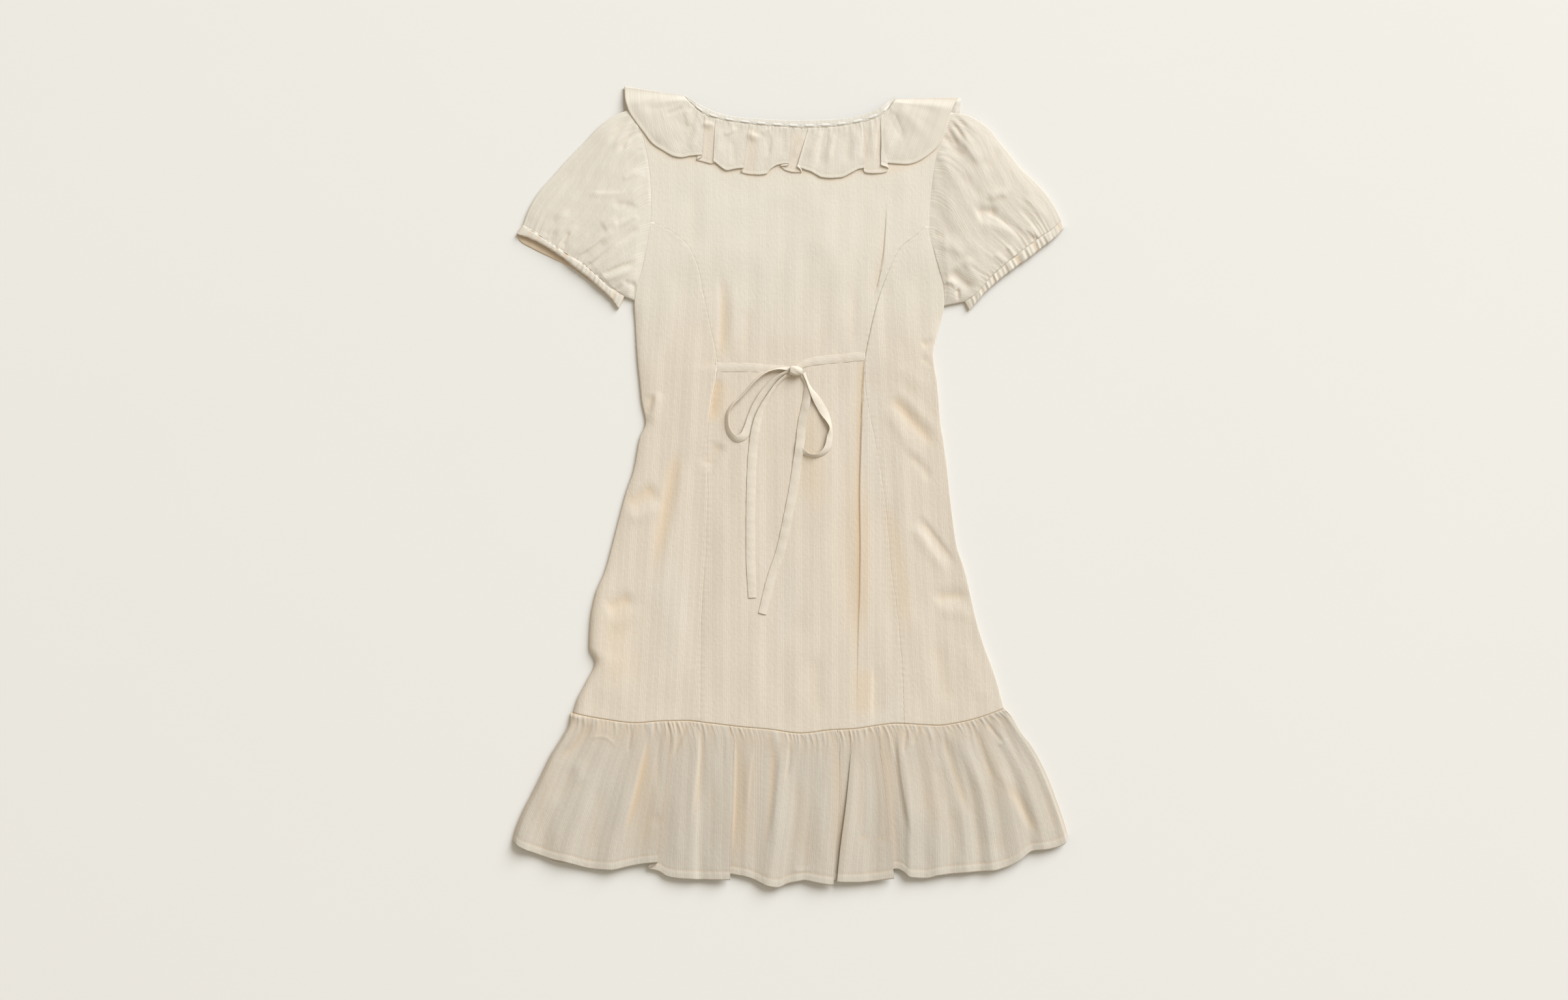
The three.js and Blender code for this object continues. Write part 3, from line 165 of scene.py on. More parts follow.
long_threads.inputs["Scale"].default_value = (900, 60, 1)
stripes.links.new(stripes_in.outputs["Cloth"], long_threads.inputs["Vector"])
slub_long = stripes.nodes.new("ShaderNodeTexNoise")
slub_long.inputs["Scale"].default_value = 1
slub_long.inputs["Detail"].default_value = 2
stripes.links.new(long_threads.outputs["Vector"], slub_long.inputs["Vector"])
cross_threads = stripes.nodes.new("ShaderNodeMapping")
cross_threads.inputs["Scale"].default_value = (110, 800, 1)
stripes.links.new(stripes_in.outputs["Cloth"], cross_threads.inputs["Vector"])
slub_cross = stripes.nodes.new("ShaderNodeTexNoise")
slub_cross.inputs["Scale"].default_value = 1
slub_cross.inputs["Detail"].default_value = 2
stripes.links.new(cross_threads.outputs["Vector"], slub_cross.inputs["Vector"])
crinkle_places = stripes.nodes.new("ShaderNodeMapping")
crinkle_places.inputs["Scale"].default_value = (330, 190, 1)
stripes.links.new(stripes_in.outputs["Cloth"], crinkle_places.inputs["Vector"])
crinkle = stripes.nodes.new("ShaderNodeTexNoise")
crinkle.inputs["Scale"].default_value = 1
crinkle.inputs["Detail"].default_value = 3
stripes.links.new(crinkle_places.outputs["Vector"], crinkle.inputs["Vector"])
threads = math_node(stripes, "ADD", slub_long.outputs["Fac"], slub_cross.outputs["Fac"])
slub = math_node(
    stripes, "MULTIPLY", math_node(stripes, "ADD", threads, crinkle.outputs["Fac"]), 0.3333
)
stripes.links.new(slub, stripes_out.inputs["Slub"])
relief = math_node(stripes, "ADD", math_node(stripes, "MULTIPLY", line, 0.15), slub)
relief = math_node(
    stripes, "ADD", relief, math_node(stripes, "MULTIPLY", crinkle.outputs["Fac"], 1.6)
)
weave_bump = stripes.nodes.new("ShaderNodeBump")
weave_bump.inputs["Strength"].default_value = 0.5
weave_bump.inputs["Distance"].default_value = 0.3 * MM
stripes.links.new(relief, weave_bump.inputs["Height"])
stripes.links.new(weave_bump.outputs["Normal"], stripes_out.inputs["Normal"])


def cotton(name, plain, light, warm, slub_depth=0.13, line_strength=0.6):
    """A cotton cloth: its plain colour, the colour of its satin lines, and the warm colour painted into
    its hollows and folds as painted shade and glow.
    """
    cloth_look = bpy.data.materials.new(name)
    cloth_look.use_nodes = True
    tree = cloth_look.node_tree
    surface = tree.nodes["Principled BSDF"]
    surface.inputs["Roughness"].default_value = 0.88
    surface.inputs["Specular IOR Level"].default_value = 0.25
    surface.inputs["Sheen Weight"].default_value = 0.12
    surface.inputs["Sheen Roughness"].default_value = 0.5
    flat_map = tree.nodes.new("ShaderNodeUVMap")
    flat_map.uv_map = "cloth"
    woven = tree.nodes.new("ShaderNodeGroup")
    woven.node_tree = stripes
    tree.links.new(flat_map.outputs["UV"], woven.inputs["Cloth"])
    striped = tree.nodes.new("ShaderNodeMix")
    striped.data_type = "RGBA"
    striped.clamp_factor = False
    striped.inputs["A"].default_value = (*plain, 1)
    striped.inputs["B"].default_value = (*light, 1)
    tree.links.new(
        math_node(tree, "MULTIPLY", woven.outputs["Line"], line_strength),
        striped.inputs["Factor"],
    )
    uneven = tree.nodes.new("ShaderNodeMix")
    uneven.data_type = "RGBA"
    uneven.blend_type = "MULTIPLY"
    uneven.inputs["Factor"].default_value = 1
    shade = math_node(
        tree,
        "ADD",
        math_node(tree, "MULTIPLY", woven.outputs["Slub"], slub_depth * 2),
        1 - slub_depth,
    )
    shade = math_node(
        tree, "ADD", shade, math_node(tree, "MULTIPLY", woven.outputs["Line"], 0.07 * line_strength)
    )
    tree.links.new(striped.outputs["Result"], uneven.inputs["A"])
    tree.links.new(shade, uneven.inputs["B"])
    # Painted shade and glow: the warm mask tints hollows, the feet of folds and other shaded places
    # towards the warm colour.
    hollow = tree.nodes.new("ShaderNodeAttribute")
    hollow.attribute_name = "warm"
    tinted = tree.nodes.new("ShaderNodeMix")
    tinted.data_type = "RGBA"
    tinted.inputs["B"].default_value = (*warm, 1)
    tree.links.new(uneven.outputs["Result"], tinted.inputs["A"])
    tree.links.new(hollow.outputs["Fac"], tinted.inputs["Factor"])
    # The second mask pales the cloth towards its satin colour: for cloth laid double, and as painted
    # light on the back near the window.
    double_and_lit = tree.nodes.new("ShaderNodeAttribute")
    double_and_lit.attribute_name = "double_and_lit"
    paler_double_and_lit = tree.nodes.new("ShaderNodeMix")
    paler_double_and_lit.data_type = "RGBA"
    paler_double_and_lit.inputs["B"].default_value = (*light, 1)
    tree.links.new(tinted.outputs["Result"], paler_double_and_lit.inputs["A"])
    tree.links.new(math_node(tree, "MULTIPLY", double_and_lit.outputs["Fac"], 0.5), paler_double_and_lit.inputs["Factor"])
    tree.links.new(paler_double_and_lit.outputs["Result"], surface.inputs["Base Color"])
    tree.links.new(woven.outputs["Normal"], surface.inputs["Normal"])
    return cloth_look


# CREAM and SATIN are the cloth's own colours; WARM is the colour of the painted warm shade and glow.
CREAM = (0.664, 0.612, 0.529)
SATIN = (0.775, 0.722, 0.62)
WARM = (0.72, 0.53, 0.33)
striped_cotton = cotton("striped_cotton", CREAM, SATIN, WARM)


# Body: front, centre back and two side backs, cut in striped cotton and joined by long curved
# seams. The front lies on the floor; the back lies over it with a little air between.
def table(names, *rows):
    return {name: np.array(values, float) for name, values in zip(names.split(), zip(*rows))}


def curve(key, value):
    """A smooth line through one column of a table, read along another column."""
    order = np.argsort(key, kind="stable")
    q, p = np.asarray(key, float)[order], np.asarray(value, float)[order]
    step = np.diff(q)
    rise = np.diff(p) / step
    slope = np.empty_like(p)
    slope[0], slope[-1] = rise[0], rise[-1]
    before, after = rise[:-1], rise[1:]
    same = before * after > 0
    slope[1:-1] = np.where(same, 2 * before * after / np.where(same, before + after, 1), 0)

    def read(at):
        at = np.clip(at, q[0], q[-1])
        i = np.clip(np.searchsorted(q, at, side="right") - 1, 0, len(q) - 2)
        t = (at - q[i]) / step[i]
        return (
            (2 * t**3 - 3 * t**2 + 1) * p[i]
            + (t**3 - 2 * t**2 + t) * step[i] * slope[i]
            + (3 * t**2 - 2 * t**3) * p[i + 1]
            + (t**3 - t**2) * step[i] * slope[i + 1]
        )

    return read


def soft(t):
    t = np.clip(t, 0, 1)
    return t * t * (3 - 2 * t)


def mix(a, b, t):
    return a + (b - a) * t


def ripple(x, y, size, seed, tall=1.0):
    """Gentle unevenness of cloth, about size mm from crest to crest, from -1 to 1."""
    rng = np.random.RandomState(seed)
    total = np.zeros(np.broadcast(x, y).shape)
    for _ in range(7):
        angle = rng.uniform(0, math.pi)
        reach = size * rng.uniform(0.7, 1.6)
        total += np.sin(
            2 * math.pi * (x * math.cos(angle) + y * math.sin(angle) / tall) / reach
            + rng.uniform(0, 6.28)
        )
    return total / 4.5


def shape_normals(points):
    across_step = np.gradient(points, axis=1)
    along_step = np.gradient(points, axis=0)
    normal = np.cross(across_step, along_step)
    normal /= np.maximum(np.linalg.norm(normal, axis=2, keepdims=True), 1e-9)
    return normal


def hollows(points, reach, depth):
    """How far each place lies below the cloth round it, 0 to 1, over reach grid steps."""
    z = points[..., 2]
    low = z.copy()
    for axis in (0, 1):
        padded = np.pad(low, [(reach, reach) if a == axis else (0, 0) for a in (0, 1)], mode="edge")
        total = np.cumsum(padded, axis=axis)
        total = np.insert(total, 0, 0, axis=axis)
        size = 2 * reach + 1
        top = [slice(None)] * 2
        bottom = [slice(None)] * 2
        top[axis] = slice(size, None)
        bottom[axis] = slice(None, -size)
        low = (total[tuple(top)] - total[tuple(bottom)]) / size
    return np.clip((low - z) / depth, 0, 1)


def make_cloth(
    name, points, flat, look, warm=None, wall=0.5, ring=False, up=True, lined=True, double_and_lit=None
):
    """A layer of cloth from a grid of outer points in mm, rows by columns, with its flat map
    in mm. A ring closes on itself across. A layer that isn't lined has only its turned edges."""
    rows, columns = points.shape[:2]
    joined = np.concatenate([points[:, -1:], points, points[:, :1]], axis=1) if ring else points
    normal = shape_normals(joined)
    if ring:
        normal = normal[:, 1:-1]
    if up and normal[..., 2].mean() < 0:
        normal = -normal
    verts = np.concatenate([points.reshape(-1, 3), (points - normal * wall).reshape(-1, 3)])
    size = rows * columns
    across_count = columns if ring else columns - 1
    j, i = np.meshgrid(np.arange(rows - 1), np.arange(across_count), indexing="ij")
    a = (j * columns + i).ravel()
    b = (j * columns + (i + 1) % columns).ravel()
    outer = np.stack([a, b, b + columns, a + columns], axis=1)
    middle_row, middle_column = rows // 2, columns // 4
    spot = points[middle_row, middle_column]
    face_normal = np.cross(
        points[middle_row, middle_column + 1] - spot, points[middle_row + 1, middle_column] - spot
    )
    edge = np.arange(across_count)
    rim_sets = [
        (edge, (edge + 1) % columns),
        ((rows - 1) * columns + (edge + 1) % columns, (rows - 1) * columns + edge),
    ]
    if not ring:
        side = np.arange(rows - 1) * columns
        rim_sets.append((side + columns, side))
        rim_sets.append((side + columns - 1, side + 2 * columns - 1))
    rims = np.concatenate([np.stack([p, p + size, q + size, q], axis=1) for p, q in rim_sets])
    faces = [outer, outer[:, ::-1] + size, rims] if lined else [outer, rims]
    faces = np.concatenate(faces)
    if np.dot(face_normal, normal[middle_row, middle_column]) < 0:
        faces = faces[:, ::-1]
    used = np.unique(faces)
    place = np.full(len(verts), -1)
    place[used] = np.arange(len(used))
    mesh = bpy.data.meshes.new(name)
    mesh.vertices.add(len(used))
    mesh.vertices.foreach_set("co", (verts[used] * MM).ravel())
    mesh.loops.add(faces.size)
    mesh.loops.foreach_set("vertex_index", place[faces].ravel().astype(np.int32))
    mesh.polygons.add(len(faces))
    mesh.polygons.foreach_set("loop_start", np.arange(0, faces.size, 4, dtype=np.int32))
    mesh.update(calc_edges=True)
    smooth = np.ones(len(faces), bool)
    smooth[-len(rims):] = False
    mesh.polygons.foreach_set("use_smooth", smooth)
    layer = mesh.uv_layers.new(name="cloth")
    flat_loops = (np.concatenate([flat.reshape(-1, 2)] * 2) * MM)[faces]
    if ring:
        # The flat map may not jump back across the joining column.
        across = flat[..., 0].max() * MM - flat[..., 0].min() * MM
        spread = np.ptp(flat_loops[..., 0], axis=1)
        low_side = flat_loops[..., 0] < flat_loops[..., 0].mean(axis=1, keepdims=True)
        flat_loops[..., 0] += np.where((spread > across / 2)[:, None] & low_side, across, 0)
    layer.uv.foreach_set("vector", flat_loops.astype(np.float32).ravel())
    for label, amount in (("warm", warm), ("double_and_lit", double_and_lit)):
        values = np.broadcast_to(0.0 if amount is None else amount, (rows, columns)).ravel()
        values = np.concatenate([values, values])[used]
        mesh.attributes.new(label, "FLOAT", "POINT").data.foreach_set(
            "value", values.astype(np.float32)
        )
    mesh.materials.append(look)
    piece = bpy.data.objects.new(name, mesh)
    bpy.context.scene.collection.objects.link(piece)
    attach(piece, "root")
    return piece


LEVELS = table(
    "y left seam_left fold seam_right right",
    (454, -195, -166, 117, 166, 199),
    (427, -179, -166, 117, 166, 186),
    (402, -172, -166, 117, 166, 176),
    (376, -168, -166, 117, 166, 171),
    (349, -166, -165, 116, 166, 168),
    (317, -166.5, -163, 114.6, 164, 165.8),
    (304, -168.6, -140, 113.8, 154, 165.7),
    (286, -171.6, -121, 112.6, 132, 170),
    (260, -177, -109.5, 109, 118.5, 177.4),
    (236, -184, -105, 103.5, 109, 183.7),
    (217, -186.3, -101, 99.5, 103, 184),
    (193, -185, -96, 95.5, 97, 179),
    (158, -183, -88.5, 89.3, 90, 171),
    (146, -182, -87.2, 88.3, 88.5, 172),
    (128, -180, -89, 87.6, 89, 175),
    (103, -177.5, -94, 86.3, 92, 177.5),
    (77, -172.8, -97.6, 85.5, 97, 179.4),
    (58, -179.8, -99, 84.9, 101, 182.5),
    (21, -186.8, -99.5, 83.8, 108, 187.5),
    (-7, -196.2, -98.7, 83.2, 112, 190.4),
    (-39, -204.8, -99.6, 83.5, 115.8, 194.2),
    (-72, -213.3, -100.5, 83.9, 118.5, 199.3),
    (-100, -221.1, -102.5, 83.5, 121, 208.6),
    (-128, -232.8, -104.5, 83.2, 125, 215),
    (-160, -239.1, -106.3, 82, 129.3, 222.3),
    (-192, -240.6, -106.8, 81.2, 132, 232.1),
    (-210, -233.6, -107, 80.9, 133.8, 239),
    (-233, -243.8, -107.2, 80.6, 135, 246.7),
    (-256, -255.5, -107.2, 80.3, 135.7, 252.9),
    (-290, -264, -107.2, 80, 136.1, 261),
)
left_edge = curve(LEVELS["y"], LEVELS["left"])
right_edge = curve(LEVELS["y"], LEVELS["right"])
seam_left = curve(LEVELS["y"], LEVELS["seam_left"])
seam_right = curve(LEVELS["y"], LEVELS["seam_right"])
fold_line = curve(LEVELS["y"], LEVELS["fold"])
HEM_SEAM = table(
    "x y",
    (-264, -270), (-226, -278), (-184.5, -282.8), (-152.5, -280.6), (-125, -280.2),
    (-93, -283.5), (-61, -287.4), (-24.6, -290.6), (12, -295.2), (49, -291.3), (77, -289.8),
    (104, -285.9), (127, -283.5), (177, -285.9), (200, -282.8), (223, -277.3), (258, -264.5),
)
hem_seam = curve(HEM_SEAM["x"], HEM_SEAM["y"])
BACK_NECK = table(
    "x y",
    (-196, 450), (-126, 460), (-115, 452.5), (-98, 443.4), (-74, 437.7), (-46, 433.8),
    (-18, 431.3), (18, 429.2), (47, 430.3), (76, 434.1), (98, 439.7), (115, 447.6),
    (125, 457), (200, 446),
)
back_top = curve(BACK_NECK["x"], BACK_NECK["y"])
FRONT_NECK = table(
    "x y",
    (-196, 450), (-126, 459), (-112, 428), (-84, 392), (-44, 366), (0, 358), (44, 366),
    (84, 392), (112, 428), (125, 456), (200, 446),
)
front_top = curve(FRONT_NECK["x"], FRONT_NECK["y"])

CLOTH = 1.2
LOFT = 2.1
HEM_LEVEL = -283
PHOTO_MIDDLE = (1213.5, 747.5)


def from_photo(px, py):
    return (np.asarray(px) - PHOTO_MIDDLE[0]) * PIXEL_MM, (PHOTO_MIDDLE[1] - np.asarray(py)) * PIXEL_MM


# Creases of the back. Each runs through three places of the photo. left and right are its width
# in mm on each side of its way, and tall is its height in mm, below zero for a hollow.
BACK_CREASES = (
    # x1, y1, x2, y2, x3, y3, left, right, tall
    (1012, 600, 1004, 626, 994, 655, 7, 3, 1.6),
    (1000, 604, 997, 622, 990, 640, 5, 6, -1.8),
    (956, 778, 985, 762, 1012, 748, 9, 13, -1.9),
    (962, 800, 990, 790, 1020, 772, 8, 8, 0.9),
    (1042, 683, 1024, 770, 1000, 900, 8, 6, -1.1),
    (1050, 700, 1040, 780, 1016, 900, 9, 6, 1),
    (1070, 500, 1060, 600, 1048, 700, 12, 12, 0.9),
    (926, 935, 950, 926, 975, 915, 9, 9, -1.8),
    (930, 962, 960, 952, 990, 930, 9, 9, 0.8),
    (1110, 680, 1098, 700, 1080, 722, 7, 11, -1.5),
    (1125, 660, 1114, 690, 1090, 735, 6, 8, 0.8),
    (1104, 575, 1096, 610, 1090, 650, 8, 2, -1.1),
    (1367, 606, 1395, 640, 1447, 696, 8, 7, -1.4),
    (1376, 596, 1410, 632, 1452, 672, 7, 8, 0.8),
    (1360, 622, 1385, 668, 1425, 720, 9, 7, 0.9),
    (1394, 696, 1414, 716, 1433, 743, 5, 6, -0.9),
    (1408, 790, 1436, 826, 1473, 875, 3.5, 9, -1.4),
    (1396, 800, 1424, 838, 1456, 886, 6, 8, 1.2),
    (1432, 924, 1460, 915, 1496, 920, 9, 8, -1.8),
    (1440, 945, 1470, 940, 1505, 950, 8, 8, 0.8),
    (1414, 532, 1426, 528, 1440, 524, 5, 5, -1.6),
    (1412, 548, 1424, 556, 1432, 566, 4, 4, -0.9),
    (1380, 560, 1400, 580, 1440, 600, 10, 10, 0.7),
    (1106, 410, 1110, 480, 1107, 556, 9, 5, -1.1),
    (1122, 420, 1124, 490, 1118, 552, 7, 7, 0.8),
    (1148, 470, 1146, 510, 1142, 556, 7, 7, -0.6),
    (1170, 380, 1176, 450, 1172, 540, 12, 12, 0.7),
    (1240, 360, 1238, 440, 1236, 540, 14, 14, -0.6),
    (1290, 380, 1288, 450, 1282, 535, 10, 10, 0.7),
    (1312, 440, 1310, 490, 1306, 540, 6, 6, -0.7),
    (1140, 290, 1132, 350, 1128, 420, 14, 14, 0.7),
    (1200, 300, 1204, 350, 1206, 420, 14, 14, -0.6),
    (1270, 300, 1268, 350, 1262, 410, 14, 14, 0.6),
    (1340, 290, 1346, 350, 1340, 420, 11, 11, 0.7),
    (1060, 280, 1062, 340, 1072, 400, 12, 12, -0.6),
    (1030, 420, 1026, 480, 1018, 560, 9, 9, 0.7),
    (1390, 420, 1388, 480, 1392, 540, 9, 9, 0.7),
    (1364, 420, 1360, 480, 1362, 560, 7, 7, -0.6),
    (1150, 590, 1144, 760, 1138, 960, 13, 13, 0.8),
    (1184, 600, 1186, 780, 1190, 1000, 12, 12, -0.8),
    (1250, 590, 1262, 760, 1268, 1000, 12, 14, 0.9),
    (1290, 620, 1300, 800, 1304, 1000, 9, 9, -0.9),
    (1120, 760, 1112, 900, 1104, 1080, 14, 14, 0.8),
    (1080, 760, 1072, 900, 1066, 1070, 12, 12, -0.9),
    (1160, 900, 1158, 1000, 1152, 1100, 12, 12, 0.8),
    (1222, 960, 1224, 1030, 1226, 1110, 13, 13, 0.9),
    (1250, 1000, 1252, 1050, 1256, 1110, 9, 9, -0.7),
    (1040, 900, 1030, 1000, 1024, 1100, 12, 12, 0.9),
    (992, 900, 980, 990, 968, 1090, 12, 12, -1),
    (950, 960, 938, 1030, 926, 1090, 11, 11, 0.9),
    (1352, 740, 1362, 860, 1366, 1000, 10, 10, -0.8),
    (1372, 640, 1384, 760, 1396, 900, 11, 11, 0.8),
    (1404, 920, 1414, 1000, 1420, 1090, 11, 11, 0.9),
    (1440, 980, 1450, 1040, 1458, 1090, 10, 10, -0.9),
    (1480, 980, 1496, 1040, 1508, 1080, 10, 10, 0.8),
    (1342, 1015, 1342, 1062, 1341, 1112, 14, 2, -0.9),
)
# Painted glow: places of the back tinted a warmer peach, in place of the light that comes through the
# cloth from a fold.
BACK_PAINTED_GLOW = (
    # x1, y1, x2, y2, x3, y3, left, right, amount
    (1042, 683, 1024, 770, 998, 900, 10, 8, 0.28),
    (1110, 420, 1110, 500, 1106, 560, 8, 4, 0.26),
    (1105, 575, 1096, 615, 1090, 660, 14, 3, 0.4),
    (1330, 700, 1330, 860, 1326, 1010, 3, 12, 0.25),
    (1326, 1015, 1326, 1062, 1326, 1112, 12, 12, 0.3),
    (956, 778, 985, 762, 1012, 748, 9, 9, 0.2),
    (1367, 606, 1395, 640, 1447, 696, 7, 7, 0.2),
    (1358, 760, 1380, 860, 1392, 1000, 9, 9, 0.22),
    (1240, 600, 1246, 700, 1250, 800, 18, 14, 0.2),
    (960, 900, 950, 980, 940, 1080, 14, 14, 0.16),
)


UNDER_COLLAR = table(
    "px py",
    (988, 206), (1002, 224), (1017, 234), (1040, 244), (1080, 248), (1096, 252), (1116, 264),
    (1140, 263), (1153, 270), (1177, 269), (1194, 257), (1212, 260), (1230, 265), (1246, 267),
    (1275, 276), (1291, 275), (1325, 262), (1340, 268), (1360, 264), (1400, 254), (1428, 239),
    (1448, 214),
)
collar_line = curve(*from_photo(UNDER_COLLAR["px"], UNDER_COLLAR["py"]))


def glow(x, y):
    """Painted light and shade on the back: paler near the window and tinted warmer away from it, a
    painted warm glow in the shade under the collar's edge, a warm line along the hem seam, and a little
    random tone."""
    tone = mix(0.17, 0.0, soft((y - 140) / 240)) + 0.05 * ripple(x, y, 150, 15, 1.6)
    under = np.maximum(collar_line(x) - y, 0)
    # Painted glow in the shade under the collar's edge, in place of light coming through the collar.
    through = 0.5 * np.exp(-((under / 4) ** 2)) + 0.16 * np.exp(-under / 14)
    # A warm line painted along the hem seam.
    hem_seam_tint = 0.3 * np.exp(-(((y - hem_seam(x)) / 0.9) ** 2))
    return tone + through * (np.abs(x) < 190) + hem_seam_tint


def creases(x, y, rows):
    """The sum of all the creases of a table at places in mm."""
    total = np.zeros(np.broadcast(x, y).shape)
    t = np.linspace(0, 1, 9)
    for x1, y1, x2, y2, x3, y3, left, right, tall in rows:
        lx, ly = from_photo(
            x1 * (1 - t) * (1 - 2 * t) + x2 * 4 * t * (1 - t) + x3 * t * (2 * t - 1),
            y1 * (1 - t) * (1 - 2 * t) + y2 * 4 * t * (1 - t) + y3 * t * (2 * t - 1),
        )
        reach = 2.6 * max(left, right)
        near = (x > lx.min() - reach) & (x < lx.max() + reach)
        near &= (y > ly.min() - reach) & (y < ly.max() + reach)
        if not near.any():
            continue
        qx, qy = x[near], y[near]
        best, side, along = np.full(qx.shape, 1e9), np.zeros(qx.shape), np.zeros(qx.shape)
        for i in range(8):
            dx, dy = lx[i + 1] - lx[i], ly[i + 1] - ly[i]
            share = np.clip(((qx - lx[i]) * dx + (qy - ly[i]) * dy) / (dx * dx + dy * dy), 0, 1)
            ex, ey = qx - lx[i] - share * dx, qy - ly[i] - share * dy
            far = np.hypot(ex, ey)
            closer = far < best
            best = np.where(closer, far, best)
            side = np.where(closer, dx * ey - dy * ex, side)
            along = np.where(closer, (i + share) / 8, along)
        wide = np.where(side > 0, left, right)
        total[near] += tall * soft(along / 0.3) * soft((1 - along) / 0.3) * np.exp(-((best / wide) ** 2))
    return total


def bed(x, y):
    """How far the front collar lifts the front panel and what lies on it."""
    return 1.5 * soft((y - 228) / 62) * soft((256 - np.abs(x)) / 46)


def seam_line(off, along, seed):
    """A flat seam: a fine dip, the pressed allowance beside it and the small pull of the stitching."""
    pull = 0.11 * np.sin(2 * math.pi * along / 7.5 + 2.2 * ripple(along, off * 0, 60, seed))
    off = np.abs(off)
    return pull * np.exp(-((off / 5) ** 2)) - 0.1 * np.exp(-((off / 0.9) ** 2))


def turned(off, radius=1.1):
    """Height, 0 to 1, of a folded edge at a distance from it."""
    return np.sqrt(np.clip(1 - (1 - np.clip(off / radius, 0, 1)) ** 2, 0, 1))


def back_height(x, y):
    """Outer height of the back of the body, in mm over the floor."""
    to_edge = np.maximum(np.minimum(x - left_edge(y), right_edge(y) - x), 0)
    arm = soft((y - 196) / 40)
    rise = mix(1 - np.exp(-to_edge / 8), 1, arm)
    calm = soft((392 - y) / 30)
    uneven = 0.6 * ripple(x, y, 95, 11, 2.4) + 0.34 * ripple(x, y, 38, 12, 2)
    height = bed(x, y) + CLOTH + 0.3 + LOFT * rise + CLOTH
    height += (0.95 * creases(x, y, BACK_CREASES) + 0.85 * uneven) * rise * calm
    low = soft((215 - y) / 90)
    roll = low * mix(0.3, 1, soft((-70 - y) / 90))
    height += np.where(
        x < 0,
        3.4 * roll * np.exp(-((np.maximum(to_edge - 7, 0) / 16) ** 2)),
        2.8 * low * np.exp(-to_edge / 9),
    )
    rolled = mix(2.5, height, turned(to_edge, 8))
    height = mix(height, rolled, roll * (x < 0))
    return height - 0.3 * np.exp(-to_edge / 1.1) * (1 - arm)


def turn_under(points, last, level=0.9):
    """Adds the columns that round a side edge and go down to the layer below."""
    edge = points[:, -1:] if last else points[:, :1]
    away = edge[..., :2] - (points[:, -2:-1] if last else points[:, 1:2])[..., :2]
    away /= np.maximum(np.linalg.norm(away, axis=2, keepdims=True), 1e-6)
    more = []
    for down, out in ((0.25, 0.1), (0.5, -0.9), (0.8, -2.4), (1, -4)):
        plane = edge[..., :2] + away * out
        more.append(np.concatenate([plane, mix(edge[..., 2:], level, down)], axis=2))
    more = np.concatenate(more if last else more[::-1], axis=1)
    return np.concatenate([points, more] if last else [more, points], axis=1)


LAP = table("y height", (-283, 0), (-230, 0.2), (-134, 0.7), (0, 1.05), (100, 1), (140, 0.8),
            (160, 0), (225, 0), (240, 0.6), (270, 0.8), (310, 0.6), (350, 0), (450, 0))
lap_height = curve(LAP["y"], LAP["height"])


def back_grid(levels, place):
    """Places of a back piece, a row for each level. place gives x of each column at given y."""
    level = np.repeat(levels[:, None], place(levels[:1, None]).shape[1], axis=1)
    foot = soft(1 - (level - HEM_LEVEL) / 62)
    head = soft((level - 322) / 128)
    x = place(level)
    for _ in range(2):
        y = level + foot * (hem_seam(x) - HEM_LEVEL) + head * (back_top(x) - 450)
        x = place(y)
    return x, y


EDGE_STEPS = np.array((0, 0.5, 1.1, 1.9, 3, 4.6, 6.5))
FOLD_STEPS = np.array((-7, -5, -3.4, -2.2, -1.4, -0.8, -0.3, 0.2, 0.8, 1.6, 2.8, 4.4))
LEFT_COUNT, RIGHT_COUNT = 92, 32


LEFT_CORNER, RIGHT_CORNER = 315.6, 310.6


def centre_places(y):
    start = mix(seam_left(y), left_edge(y), soft((y - LEFT_CORNER) / 0.6))
    end = mix(seam_right(y), right_edge(y), soft((y - RIGHT_CORNER) / 0.6))
    fold = np.minimum(fold_line(y), end - 14)
    parts = [start + EDGE_STEPS]
    share = (np.arange(LEFT_COUNT) + 1) / (LEFT_COUNT + 1)
    parts.append(mix(start + EDGE_STEPS[-1], fold + FOLD_STEPS[0], share))
    parts.append(fold + FOLD_STEPS)
    share = (np.arange(RIGHT_COUNT) + 1) / (RIGHT_COUNT + 1)
    parts.append(mix(fold + FOLD_STEPS[-1], end - EDGE_STEPS[-1], share))
    parts.append(end - EDGE_STEPS[::-1])
    return parts


def pick_columns(parts_of):
    """Turns a function of one column of y into one that also takes a full grid of y."""
    def place(y):
        if y.shape[1] == 1:
            return np.concatenate(parts_of(y), axis=1)
        count = y.shape[1]
        x = np.empty(y.shape)
        for column in range(count):
            x[:, column] = np.concatenate(parts_of(y[:, column:column + 1]), axis=1)[:, column]
        return x
    return place


centre_levels = np.sort(np.concatenate([
    np.linspace(HEM_LEVEL, 320, 300), np.linspace(322, 450, 46),
    (LEFT_CORNER, LEFT_CORNER + 0.6, RIGHT_CORNER, RIGHT_CORNER + 0.6),
]))
x, y = back_grid(centre_levels, pick_columns(centre_places))
z = back_height(x, y)
lap = lap_height(y)
to_fold = x - fold_line(y)
z += lap * soft((to_fold + 0.9) / 1.5) * np.exp(-np.maximum(to_fold, 0) / 40)
z -= 0.5 * lap * np.exp(-((np.minimum(to_fold + 1.2, 0) / 14) ** 2)) * (to_fold < -0.4)
from_seam = np.where(y < 314, np.minimum(x - seam_left(y), seam_right(y) - x), 99)
z += seam_line(from_seam, y, 21)
z -= 0.12 * np.exp(-((y - hem_seam(x)) / 1.2) ** 2)
centre_points = np.stack([x, y, z], axis=2)
